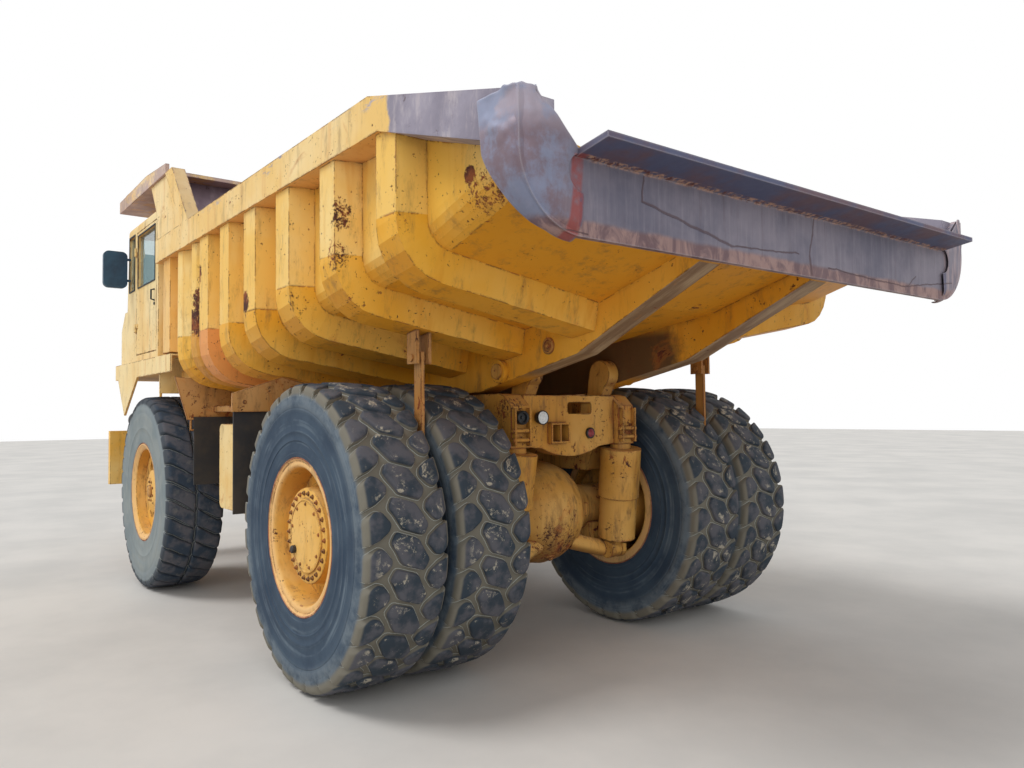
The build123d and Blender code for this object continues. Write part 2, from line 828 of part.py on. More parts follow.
# Bed rails under the floor, with the pivot bore, its boss and the hoist ears
with BuildPart() as bed_rails:
    profile_block(
        [
            (2560.0, 1745.0),
            (-130.0, 1745.0),
            (-1090.0, 1940.0),
            (-1570.0, 2155.0),
            (-1970.0, 2330.0),
            (tail_end + 60.0, floor_under(tail_end + 60.0)),
            (tail_kink, floor_under(tail_kink)),
            (floor_kink, floor_under(floor_kink)),
            (2560.0, floor_under(2560.0)),
        ],
        bed_rail_inner,
        bed_rail_outer,
    )
    cross_rod(pivot_x, pivot_z, 72.0, bed_rail_outer, bed_rail_outer + 35.0)
    bore = pivot_radius + running_gap
    cross_rod(pivot_x, pivot_z, bore, bed_rail_inner, bed_rail_outer + 40.0, mode=Mode.SUBTRACT)
    block((hoist_eye_x - 70.0, bed_rail_outer - 10.0, 1800.0), (hoist_eye_x + 70.0, 775.0, 1826.0))
    for ear_y in (622.0, 746.0):
        block((hoist_eye_x - 65.0, ear_y, hoist_eye_z), (hoist_eye_x + 65.0, ear_y + 28.0, 1810.0))
        cross_rod(hoist_eye_x, hoist_eye_z, 65.0, ear_y, ear_y + 28.0)
    mirror(about=Plane.XZ)

# Tail: end band with rounded corners, and the lip behind it
band_bottom = 2285.0
band_top = 2617.0
band_front = tail_end - fit_gap
band_rear = tail_end - 30.0
wrap_wall = 25.0
wrap_length = 190.0
rim_fall = (rim_bottom - rim_tail_bottom) / (rim_kink - tail_end)
with BuildPart() as tail:
    with BuildSketch(Plane(origin=(ahead(band_rear), 0, 0), x_dir=(0, 1, 0), z_dir=(1, 0, 0))):
        with BuildLine():
            for side in (-1, 1):
                Line((0, band_bottom), (side * 1540.0, band_bottom))
                ThreePointArc(
                    (side * 1540.0, band_bottom), (side * 1755.0, 2385.0), (side * rim_face, 2600.0)
                )
                Polyline(
                    [
                        (side * rim_face, 2600.0),
                        (side * rim_face, 2815.0),
                        (side * 1770.0, 2815.0),
                        (side * 1520.0, band_top),
                        (0, band_top),
                    ]
                )
        make_face()
    extrude(amount=band_front - band_rear)
    profile_block(
        [
            (band_rear + 15.0, band_top - 25.0),
            (-rear_overhang, band_top + 8.0),
            (-rear_overhang, band_top + 32.0),
            (band_rear + 15.0, band_top + 2.0),
        ],
        -1560.0,
        1560.0,
    )
    # Returns: the band's corner runs forward round the bed's side, up to the rim rail's underside
    for side in (-1, 1):
        with BuildSketch(section_plane(band_rear + 1)) as strip:
            with BuildLine():
                ThreePointArc(
                    (side * 1540.0, band_bottom), (side * 1755.0, 2385.0), (side * rim_face, 2600.0)
                )
                Polyline(
                    [
                        (side * rim_face, 2600.0),
                        (side * rim_face, 2680.0),
                        (side * (rim_face - wrap_wall), 2680.0),
                        (side * (rim_face - wrap_wall), 2600.0),
                    ]
                )
                ThreePointArc(
                    (side * (rim_face - wrap_wall), 2600.0),
                    (side * (1755.0 - 18.0), 2403.0),
                    (side * 1540.0, band_bottom + wrap_wall),
                )
                Line((side * 1540.0, band_bottom + wrap_wall), (side * 1540.0, band_bottom))
            make_face()
        extrude(strip.sketch, amount=wrap_length + 30.0)
    profile_block(
        [
            (tail_end + wrap_length, rim_tail_bottom + wrap_length * rim_fall - fit_gap),
            (tail_end + 12.0, band_bottom - 10.0),
            (tail_end + wrap_length + 60.0, band_bottom - 10.0),
            (tail_end + wrap_length + 60.0, 2700.0),
            (tail_end - fit_gap, 2700.0),
            (tail_end - fit_gap, rim_tail_bottom - fit_gap),
        ],
        -rim_face - 5.0,
        rim_face + 5.0,
        mode=Mode.SUBTRACT,
    )

# Rock bars between the twin tyres, on ears under the bed
with BuildPart() as rock_bars:
    twin_middle = (inner_twin_y + outer_twin_y) / 2
    block((-545.0, twin_middle - 12.0, 1470.0), (-470.0, twin_middle + 12.0, 1960.0))
    cross_rod(-507.0, 1925.0, 22.0, twin_middle - 60.0, twin_middle + 60.0)
    for ear_y in (twin_middle - 50.0, twin_middle + 30.0):
        profile_block(
            [
                (-560.0, 1890.0),
                (-455.0, 1890.0),
                (-455.0, rib_under(-455.0, ear_y) - fit_gap),
                (-560.0, rib_under(-560.0, ear_y) - fit_gap),
            ],
            ear_y,
            ear_y + 20.0,
        )
    mirror(about=Plane.XZ)

# Two-stage hoists: barrels on the frame, middle stages and rods up to the bed
hoist_run = math.hypot(hoist_eye_x - hoist_foot_x, hoist_eye_z - hoist_foot_z)
hoist_dx = (hoist_eye_x - hoist_foot_x) / hoist_run
hoist_dz = (hoist_eye_z - hoist_foot_z) / hoist_run
barrel_length = 950.0
stage_radius = 88.0
rod_radius = 64.0
foot_pin_radius = 45.0


def hoist_point(along, y):
    """Point on the hoist's axis, measured up from its foot pin."""
    return (hoist_foot_x + hoist_dx * along, y, hoist_foot_z + hoist_dz * along)


with BuildPart() as hoist_barrels:
    rod_between(hoist_point(60.0, hoist_y), hoist_point(barrel_length, hoist_y), 105.0)
    cross_rod(hoist_foot_x, hoist_foot_z, 92.0, 625.0, 775.0)
    barrel_bore = stage_radius + running_gap
    bore_end = hoist_point(barrel_length + 10, hoist_y)
    rod_between(hoist_point(100.0, hoist_y), bore_end, barrel_bore, mode=Mode.SUBTRACT)
    cross_rod(hoist_foot_x, hoist_foot_z, foot_pin_radius + running_gap, 600.0, 800.0, mode=Mode.SUBTRACT)
    mirror(about=Plane.XZ)

with BuildPart() as hoist_stages:
    rod_between(hoist_point(105.0, hoist_y), hoist_point(barrel_length + 40.0, hoist_y), stage_radius)
    stage_bore = rod_radius + running_gap
    bore_end = hoist_point(barrel_length + 50, hoist_y)
    rod_between(hoist_point(130.0, hoist_y), bore_end, stage_bore, mode=Mode.SUBTRACT)
    mirror(about=Plane.XZ)

with BuildPart() as hoist_rods:
    rod_between(hoist_point(135.0, hoist_y), hoist_point(hoist_run - 150.0, hoist_y), rod_radius)
    rod_between(hoist_point(hoist_run - 160.0, hoist_y), hoist_point(hoist_run, hoist_y), 34.0)
    cross_rod(hoist_eye_x, hoist_eye_z, 55.0, 662.0, 734.0)
    mirror(about=Plane.XZ)

# Decks, wings and bulkheads over the front wheels
deck_main = 2985.0  # the deck starts here behind the cab; a strip runs on behind it outside the bed
deck_under = deck_top - deck_thickness
walkway_under = deck_top - 40.0
with BuildPart() as left_deck:
    block((deck_main, 620.0, deck_under), (deck_front, deck_side, deck_top))
    block((deck_front - 1, 665.0, walkway_under), (frame_front, 1200.0, deck_top))
    block((deck_rear, deck_side - 16.0, deck_under), (deck_main + 1, deck_side, deck_top))
    block((deck_rear, 1700.0, deck_top - 16.0), (deck_main + 1, deck_side, deck_top))
    profile_block(
        [(4440.0, deck_under + 5), (4160.0, 1620.0), (3640.0, deck_under + 5)],
        deck_side - 20.0,
        deck_side,
    )
    block((deck_main, 700.0, 1810.0), (deck_main + 20.0, deck_side - 40.0, deck_under + 1))
    # Legs on the frame's rails, and the height of each foot
    for leg, foot in ((deck_main, 1450.0), (4250.0, 1450.0), (bonnet_front - 140.0, 1300.0)):
        block((leg, 640.0, foot), (leg + 120.0, 700.0, walkway_under + 1))
        block((leg, frame_outer + fit_gap, foot), (leg + 120.0, 645.0, foot + 90.0))

# Mud plates: hangers before and behind the gap between the wheels, joined by a bar
front_hanger = 2500.0
rear_hanger = 1040.0
hanger_wall = 20.0
flap_wall = 14.0
step_z = 1490.0
with BuildPart() as mud_plates:
    with BuildSketch(section_plane(front_hanger)):
        with BuildLine():
            Polyline(
                [
                    (frame_outer + fit_gap, 1590),
                    (1690, 1575),
                    (1794, 1940),
                    (1660, 1925),
                    (1292, 1805),
                    (frame_outer + fit_gap, 1640),
                ],
                close=True,
            )
        make_face()
    extrude(amount=hanger_wall)
    with BuildSketch(section_plane(rear_hanger)):
        with BuildLine():
            Polyline([(870, 1632), (1805, 1632), (1805, 1760), (1450, 1877), (870, 1740)], close=True)
        make_face()
    extrude(amount=hanger_wall)
    block((rear_hanger, 1420.0, 1640.0), (front_hanger + 5, 1470.0, 1690.0))
    # Step hoop under the front hanger
    for hoop_y in (1460.0, 1660.0):
        rod_between((front_hanger + 10, hoop_y, 1600.0), (front_hanger + 10, hoop_y, step_z), 9.0)
    rod_between((front_hanger + 10, 1452.0, step_z), (front_hanger + 10, 1668.0, step_z), 9.0)
    mirror(about=Plane.XZ)

with BuildPart() as mud_flaps:
    block((front_hanger - flap_wall, 1240.0, 1030.0), (front_hanger - fit_gap, 1640.0, 1600.0))
    flap_x = rear_hanger + hanger_wall + fit_gap
    block((flap_x, 870.0, 930.0), (flap_x + flap_wall, 1410.0, 1660.0))
    block((flap_x, 1405.0, 930.0), (flap_x + flap_wall, 1790.0, 1639.0))
    mirror(about=Plane.XZ)

# Tanks between the axles
with BuildPart() as hydraulic_tank:
    block((1520.0, 860.0, 860.0), (2200.0, 1520.0, 1540.0))
    fillet(hydraulic_tank.edges().filter_by(Axis.Y), 60.0)
    block((1600.0, frame_outer + fit_gap, 1230.0), (2120.0, 900.0, 1430.0))

with BuildPart() as fuel_tank:
    block((1520.0, -1600.0, 760.0), (2250.0, -860.0, 1540.0))
    fillet(fuel_tank.edges().filter_by(Axis.Y), 120.0)
    block((1600.0, -900.0, 1230.0), (2120.0, -frame_outer - fit_gap, 1430.0))

# Cab: hollow shell with its door opening and windows cut; window edges as pairs
window_top = 3380.0
quarter = (door_front + 80.0, cab_front - 90.0)  # rear and front edge of the quarter window
side_window = (cab_rear + 120.0, cab_front - 140.0)
rear_window = (cab_inner + 170.0, cab_outer - 170.0)
screen = (cab_inner + 100.0, cab_outer - 100.0)
screen_lean = 60.0
with BuildPart() as cab_shell:
    profile_block(
        [
            (cab_rear, deck_top + fit_gap),
            (cab_nose, deck_top + fit_gap),
            (cab_nose, 2480.0),
            (cab_nose - 150.0, 2660.0),
            (cab_front, 2660.0),
            (cab_front - screen_lean, cab_roof),
            (cab_rear, cab_roof),
        ],
        cab_inner,
        cab_outer,
    )
    fillet(cab_shell.edges().filter_by(Axis.X).group_by(Axis.Z)[-1], 70.0)
    profile_block(
        [
            (cab_rear + cab_wall, deck_top + cab_wall),
            (cab_nose - cab_wall, deck_top + cab_wall),
            (cab_nose - cab_wall, 2460.0),
            (cab_nose - 170.0, 2610.0),
            (cab_front - cab_wall, 2610.0),
            (cab_front - cab_wall - screen_lean, cab_roof - cab_wall),
            (cab_rear + cab_wall, cab_roof - cab_wall),
        ],
        cab_inner + cab_wall,
        cab_outer - cab_wall,
        mode=Mode.SUBTRACT,
    )
    # Door opening, quarter window, right window, windscreen and rear window
    for low, high in (
        ((door_rear, cab_outer - 60, door_bottom), (door_front, cab_outer + 10, door_top)),
        ((quarter[0], cab_outer - 60, sill_z), (quarter[1], cab_outer + 10, window_top)),
        ((side_window[0], cab_inner - 10, sill_z), (side_window[1], cab_inner + 60, window_top)),
        ((cab_front - 200.0, screen[0], 2790.0), (cab_front + 50.0, screen[1], 3400.0)),
        ((cab_rear - 10.0, rear_window[0], sill_z), (cab_rear + 60.0, rear_window[1], window_top)),
    ):
        block(low, high, mode=Mode.SUBTRACT)

# Door hinges: a leaf and a knuckle on the shell, and one above it on the door
hinge_x = (door_front + door_front - panel_gap) / 2
hinge_y = cab_outer + 12.0
hinge_levels = (2420.0, 3160.0)
knuckle_height = 40.0


def door_hinge(leaf_rear, leaf_front, level):
    """Leaf on the outer face and its knuckle round the hinge axis."""
    block((leaf_rear, cab_outer - 1, level), (leaf_front, cab_outer + 7.0, level + knuckle_height))
    with Locations((ahead(hinge_x), hinge_y, level + knuckle_height / 2)):
        Cylinder(12.0, knuckle_height)


with cab_shell:
    for level in hinge_levels:
        door_hinge(door_front, door_front + 45.0, level)

door_face = cab_outer - cab_wall
door_frame = 60.0
pane_wall = 8.0
with BuildPart() as cab_door:
    block(
        (door_rear + panel_gap, door_face, door_bottom + panel_gap),
        (door_front - panel_gap, cab_outer, door_top - panel_gap),
    )
    block(
        (door_rear + door_frame, door_face - 5, sill_z),
        (door_front - door_frame, cab_outer + 5, door_top - 45.0),
        mode=Mode.SUBTRACT,
    )
    for level in hinge_levels:
        door_hinge(door_front - 50.0, door_front - panel_gap, level + knuckle_height + fit_gap)

with BuildPart() as door_glass:
    block(
        (door_rear + door_frame + fit_gap, door_face + 20.0, sill_z + fit_gap),
        (door_front - door_frame - fit_gap, door_face + 20.0 + pane_wall, door_top - 45.0 - fit_gap),
    )

pane_low = sill_z + fit_gap
pane_high = window_top - fit_gap
with BuildPart() as cab_glass:
    block(
        (quarter[0] + fit_gap, cab_outer - 30, pane_low),
        (quarter[1] - fit_gap, cab_outer - 30 + pane_wall, pane_high),
    )
    block(
        (side_window[0] + fit_gap, cab_inner + 20, pane_low),
        (side_window[1] - fit_gap, cab_inner + 20 + pane_wall, pane_high),
    )
    block(
        (cab_rear + 20.0, rear_window[0] + fit_gap, pane_low),
        (cab_rear + 20.0 + pane_wall, rear_window[1] - fit_gap, pane_high),
    )
    profile_block(
        [
            (cab_front - 46.0, 2790.0 + fit_gap),
            (cab_front - 38.0, 2790.0 + fit_gap),
            (cab_front - 82.0, 3400.0 - fit_gap),
            (cab_front - 90.0, 3400.0 - fit_gap),
        ],
        screen[0] + fit_gap,
        screen[1] - fit_gap,
    )

seat_rear = cab_rear + 140.0
with BuildPart() as driver_seat:
    block((seat_rear + 110.0, 1040.0, deck_top + cab_wall + fit_gap), (seat_rear + 560.0, 1500.0, 2640.0))
    block((seat_rear, 1040.0, 2400.0), (seat_rear + 140.0, 1500.0, 3080.0))
    fillet(driver_seat.edges().filter_by(Axis.Y), 30.0)

with BuildPart() as steering_column:
    block((cab_front - 160.0, 900.0, deck_top + cab_wall + fit_gap), (cab_front + 60.0, 1640.0, 2600.0))
    rod_between((cab_front - 80.0, 1270.0, 2400.0), (cab_front - 400.0, 1270.0, 2795.0), 30.0)
    with BuildSketch(Plane(origin=(ahead(cab_front - 400.0), 1270.0, 2790.0), z_dir=(-0.5, 0, 0.866))):
        Circle(210.0)
        Circle(184.0, mode=Mode.SUBTRACT)
        Rectangle(380.0, 36.0)
    extrude(amount=24.0)

# Right-hand deck gear
with BuildPart() as air_cleaner:
    rod_between((3500.0, -1250.0, deck_top + fit_gap), (3500.0, -1250.0, 2900.0), 210.0)
    rod_between((3500.0, -1250.0, 2900.0), (3500.0, -1250.0, 3020.0), 90.0)
    rod_between((3500.0, -1250.0, 3020.0), (3500.0, -1250.0, 3060.0), 190.0)

# Bonnet, radiator with its grille, and bumper
bonnet_side = 600.0
bonnet_rear = cab_rear + 50.0
bonnet_brow = bonnet_front - 150.0
bonnet_wall = 25.0
with BuildPart() as bonnet:
    profile_block(
        [
            (bonnet_rear, deck_top + fit_gap),
            (bonnet_front, 1850.0),
            (bonnet_front, 2540.0),
            (bonnet_brow, 2600.0),
            (bonnet_rear, 2640.0),
        ],
        -bonnet_side,
        bonnet_side,
    )
    fillet(bonnet.faces().filter_by(Axis.Y).edges().group_by(Axis.Z)[-1], 60.0)
    profile_block(
        [
            (bonnet_rear + 20.0, 1500.0),
            (bonnet_front + 50.0, 1500.0),
            (bonnet_front + 50.0, 2540.0 - bonnet_wall),
            (bonnet_brow, 2600.0 - bonnet_wall),
            (bonnet_rear + 20.0, 2640.0 - bonnet_wall),
        ],
        -bonnet_side + bonnet_wall,
        bonnet_side - bonnet_wall,
        mode=Mode.SUBTRACT,
    )

grille_slats = 9
grille_bottom = 1507.2
grille_frame = 80.0
grille_half = 650.0
core_wall = 30.0
with BuildPart() as grille:
    block(
        (bonnet_front + fit_gap, -grille_half, grille_bottom),
        (bonnet_front + grille_depth, grille_half, 2560.0),
    )
    block(
        (bonnet_front - 10, -grille_half + grille_frame, grille_bottom + grille_frame),
        (bonnet_front + grille_depth + 10, grille_half - grille_frame, 2560.0 - grille_frame),
        mode=Mode.SUBTRACT,
    )
    slat_pitch = (2560.0 - 2 * grille_frame - grille_bottom) / grille_slats
    for index in range(grille_slats):
        z = grille_bottom + grille_frame + (index + 0.5) * slat_pitch
        block(
            (bonnet_front + 40.0, -grille_half + grille_frame - 10, z - 16.0),
            (bonnet_front + grille_depth - 20.0, grille_half - grille_frame + 10, z + 16.0),
        )
    # Radiator core behind the slats
    core_half = grille_half - grille_frame - fit_gap
    core_low = grille_bottom + grille_frame + fit_gap
    core_high = 2560.0 - grille_frame - fit_gap
    block(
        (bonnet_front + fit_gap, -core_half, core_low),
        (bonnet_front + core_wall, core_half, core_high),
    )

bumper_half = 1700.0
bumper_bottom = 850.0
bumper_top = 1450.0
bumper_middle = (bumper_top + bumper_bottom) / 2
tow_pin_x = bumper_front - 50.0
tow_pin_radius = 30.0
step_depth = 60.0
with BuildPart() as bumper:
    with BuildSketch(Plane.XY.offset(bumper_bottom)):
        with BuildLine():
            Polyline(
                [
                    (ahead(frame_front + fit_gap), -bumper_half),
                    (ahead(frame_front + fit_gap), bumper_half),
                    (ahead(bumper_front - bumper_taper), bumper_half),
                    (ahead(bumper_front), bumper_half - 400.0),
                    (ahead(bumper_front), -bumper_half + 400.0),
                    (ahead(bumper_front - bumper_taper), -bumper_half),
                ],
                close=True,
            )
        make_face()
    extrude(amount=bumper_top - bumper_bottom)
    # Towing slot and its pin's bore, and a foothold below each ladder
    block(
        (bumper_front - bumper_taper, -110.0, bumper_middle - 70.0),
        (bumper_front + 5, 110.0, bumper_middle + 70.0),
        mode=Mode.SUBTRACT,
    )
    with Locations((ahead(tow_pin_x), 0, bumper_middle)):
        Cylinder(tow_pin_radius, bumper_top - bumper_bottom + 10, mode=Mode.SUBTRACT)
    for side in (-1, 1):
        low_y, high_y = sorted((side * 780.0, side * 1160.0))
        block(
            (bumper_front - step_depth, low_y, bumper_middle - 70.0),
            (bumper_front + 5, high_y, bumper_middle + 130.0),
            mode=Mode.SUBTRACT,
        )

# Lamps, mirrors and ladders
lamp_y = 1400.0
lamp_z = bumper_top + 120.0
with BuildPart() as lamps:
    lamp_foot = (bumper_front - 140.0, lamp_y, bumper_top + fit_gap)
    rod_between(lamp_foot, (bumper_front - 140.0, lamp_y, lamp_z - 80.0), 40.0)
    rod_between((bumper_front - 185.0, lamp_y, lamp_z), (bumper_front - 95.0, lamp_y, lamp_z), 95.0)
    mirror(about=Plane.XZ)
    # Rear end of the frame: work lamp and stop lamp on the cross member, alarm on the left rail
    rod_between((-410.0 - fit_gap, 294.0, 1573.0), (-470.0, 294.0, 1573.0), 47.0)
    rod_between((frame_rear - fit_gap, 484.0, 1575.0), (frame_rear - 45.0, 484.0, 1575.0), 47.0)
    rod_between((-410.0 - fit_gap, -172.0, 1462.0), (-430.0, -172.0, 1462.0), 38.0)

mirror_width = 215.0
mirror_x = cab_front - 120.0
mirror_levels = (2960.0, 3170.0)
mirror_inner = mirror_span / 2 - mirror_width
with BuildPart() as mirrors:
    block((mirror_x - 25.0, mirror_inner, 2880.0), (mirror_x + 25.0, mirror_span / 2, 3240.0))
    fillet(mirrors.edges().filter_by(Axis.X), 50.0)
    mirror(about=Plane.XZ)
    # Arms from the cab on the left, and from a post on the deck on the right
    post_y = -deck_side + 40.0
    for arm_z in mirror_levels:
        rod_between((mirror_x, cab_outer + fit_gap, arm_z), (mirror_x, mirror_inner + 20.0, arm_z), 12.0)
        rod_between((mirror_x, post_y, arm_z), (mirror_x, -mirror_inner - 20.0, arm_z), 12.0)
    rod_between((mirror_x, post_y, deck_top + fit_gap), (mirror_x, post_y, mirror_levels[-1] + 20.0), 20.0)

ladder_foot = bumper_front - 80.0
ladder_lean = ladder_foot - frame_front - fit_gap
ladder_rise = deck_top - 10.0 - bumper_top
ladder_rungs = 3
with BuildPart() as ladders:
    for rail_y in (780.0, 1140.0):
        profile_block(
            [
                (ladder_foot, bumper_top + fit_gap),
                (ladder_foot + 40.0, bumper_top + fit_gap),
                (ladder_foot - ladder_lean + 40.0, deck_top - 10.0),
                (ladder_foot - ladder_lean, deck_top - 10.0),
            ],
            rail_y,
            rail_y + 20.0,
        )
    for rung in range(ladder_rungs):
        share = (rung + 0.7) / ladder_rungs
        x = ladder_foot + 20.0 - ladder_lean * share
        z = bumper_top + ladder_rise * share
        block((x - 18.0, 785.0, z - 8.0), (x + 18.0, 1155.0, z + 8.0))
    mirror(about=Plane.XZ)

bodies = {
    "chassis_frame": frame,
    "axle_housing": axle,
    "suspension_cylinders": suspension_cylinders,
    "engine_block": engine,
    "gearbox_shaft": gearbox,
    "front_struts": struts,
    "tie_rod": tie_rod,
    "bed_floor": bed_floor,
    "bed_sides": bed_sides,
    "upper_ribs": upper_ribs,
    "lower_ribs": lower_ribs,
    "rim_rails": rim_rails,
    "front_wall": front_wall,
    "canopy": canopy,
    "bed_rails": bed_rails,
    "tail_band": tail,
    "rock_bars": rock_bars,
    "hoist_barrels": hoist_barrels,
    "hoist_stages": hoist_stages,
    "hoist_rods": hoist_rods,
    "left_deck": left_deck,
    "mud_plates": mud_plates,
    "mud_flaps": mud_flaps,
    "hydraulic_tank": hydraulic_tank,
    "fuel_tank": fuel_tank,
    "cab_shell": cab_shell,
    "cab_door": cab_door,
    "door_glass": door_glass,
    "cab_glass": cab_glass,
    "driver_seat": driver_seat,
    "steering_column": steering_column,
    "air_cleaner": air_cleaner,
    "bonnet": bonnet,
    "radiator_grille": grille,
    "front_bumper": bumper,
    "lamps": lamps,
    "mirrors": mirrors,
    "ladders": ladders,
}
for name, piece in bodies.items():
    piece.part.label = name
    export_step(piece.part, f"parts/{name}.step")

# Wheels and knuckles: the left one, and its mirror image on the right
paired = {
    "front_tyre": front_tyre,
    "front_rim": front_rim,
    "rear_tyres": rear_tyres,
    "rear_rims": rear_rims,
    "knuckle": knuckle,
}
for name, piece in paired.items():
    for side, solid in (("left", piece.part), ("right", mirror(piece.part, about=Plane.XZ))):
        solid.label = f"{name}_{side}"
        export_step(solid, f"parts/{name}_{side}.step")

right_deck = mirror(left_deck.part, about=Plane.XZ)
right_deck.label = "right_deck"
export_step(right_deck, "parts/right_deck.step")
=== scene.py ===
import bmesh
import bpy
import math
import random
from mathutils import Matrix, Vector, noise


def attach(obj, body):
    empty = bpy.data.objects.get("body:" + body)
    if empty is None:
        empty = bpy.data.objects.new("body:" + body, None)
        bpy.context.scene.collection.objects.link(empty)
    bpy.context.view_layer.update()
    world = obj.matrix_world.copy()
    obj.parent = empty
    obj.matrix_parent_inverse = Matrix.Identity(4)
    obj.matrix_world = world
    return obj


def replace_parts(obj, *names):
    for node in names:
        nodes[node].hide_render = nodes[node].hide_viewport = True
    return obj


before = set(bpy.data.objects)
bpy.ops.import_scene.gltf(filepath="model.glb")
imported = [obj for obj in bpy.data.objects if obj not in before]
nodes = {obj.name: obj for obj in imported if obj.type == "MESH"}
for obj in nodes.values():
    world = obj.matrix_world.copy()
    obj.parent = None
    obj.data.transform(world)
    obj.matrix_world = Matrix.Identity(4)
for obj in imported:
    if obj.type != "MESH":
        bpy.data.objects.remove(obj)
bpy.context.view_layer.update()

REAR_AXLE = -1.64  # X of the rear axle
WHEELBASE = 3.66
FRONT_AXLE = REAR_AXLE + WHEELBASE
AXLE_Z = 0.9
FULL_TURN = 2 * math.pi
SIDES = (("left", 1), ("right", -1))


def ahead(d):
    """X of a place that far ahead of the rear axle."""
    return REAR_AXLE + d


def srgb(*values):
    """Linear colour from three 0-255 screen values, each over 10."""
    return (*(((c / 255 + 0.055) / 1.055) ** 2.4 for c in values), 1.0)


# ---------------------------------------------------------------- camera, light and floor

scene = bpy.context.scene
scene.view_settings.view_transform = "Standard"

YAW, PITCH, ROLL = math.radians(-37.93), math.radians(2.14), math.radians(-0.58)
FOCAL_PX = 792.8
PHOTO_WIDTH = 1024
SENSOR_WIDTH = 36.0
forward = Vector((math.cos(PITCH) * math.cos(YAW), math.cos(PITCH) * math.sin(YAW), math.sin(PITCH)))
right = forward.cross(Vector((0, 0, 1))).normalized()
up = right.cross(forward)
right, up = math.cos(ROLL) * right + math.sin(ROLL) * up, -math.sin(ROLL) * right + math.cos(ROLL) * up
camera_data = bpy.data.cameras.new("camera")
camera_data.sensor_width = SENSOR_WIDTH
camera_data.lens = FOCAL_PX * SENSOR_WIDTH / PHOTO_WIDTH
camera_data.clip_end = 200.0
camera = bpy.data.objects.new("camera", camera_data)
camera.matrix_world = Matrix((right, up, -forward)).transposed().to_4x4()
camera.location = (ahead(-4.422), 3.631, 1.601)
scene.collection.objects.link(camera)
scene.camera = camera


def feed(tree, node, inputs):
    """Feeds a node; inputs maps sockets' names or numbers to sockets, values or screen colours."""
    for key, value in inputs.items():
        socket = node.inputs[key]
        if isinstance(value, bpy.types.NodeSocket):
            tree.links.new(value, socket)
        else:
            screen = socket.type == "RGBA" and len(value) == 3
            socket.default_value = srgb(*value) if screen else value


def add_node(tree, kind, inputs, **settings):
    node = tree.nodes.new("ShaderNode" + kind)
    for name, value in settings.items():
        setattr(node, name, value)
    feed(tree, node, inputs)
    return node


# White to the camera and in reflections, a bluish studio to all else
STUDIO_COLOUR, STUDIO_STRENGTH = (0.93, 0.96, 1.0, 1), 0.62
world = bpy.data.worlds.new("world")
scene.world = world
world.use_nodes = True
tree = world.node_tree
tree.nodes.clear()
path = add_node(tree, "LightPath", {}).outputs
seen = add_node(tree, "Math", {0: path["Is Camera Ray"], 1: path["Is Glossy Ray"]}, operation="MAXIMUM")
seen = add_node(tree, "Math", {0: seen.outputs[0], 1: path["Is Transmission Ray"]}, operation="MAXIMUM")
studio = add_node(tree, "Background", {"Color": STUDIO_COLOUR, "Strength": STUDIO_STRENGTH})
backdrop = add_node(tree, "Background", {"Color": (1, 1, 1, 1), "Strength": 1.0})
mixer = add_node(tree, "MixShader", {0: seen.outputs[0], 1: studio.outputs[0], 2: backdrop.outputs[0]})
add_node(tree, "OutputWorld", {0: mixer.outputs[0]})


def lamp(name, strength, angle, direction):
    data = bpy.data.lights.new(name, "SUN")
    data.energy = strength
    data.angle = math.radians(angle)
    obj = bpy.data.objects.new(name, data)
    obj.rotation_euler = Vector(direction).to_track_quat("-Z", "Y").to_euler()
    scene.collection.objects.link(obj)


lamp("key", 1.5, 24, (-0.35, -0.62, -0.95))
lamp("fill", 0.75, 60, (0.75, -0.45, -0.35))


# ---------------------------------------------------------------- procedural materials

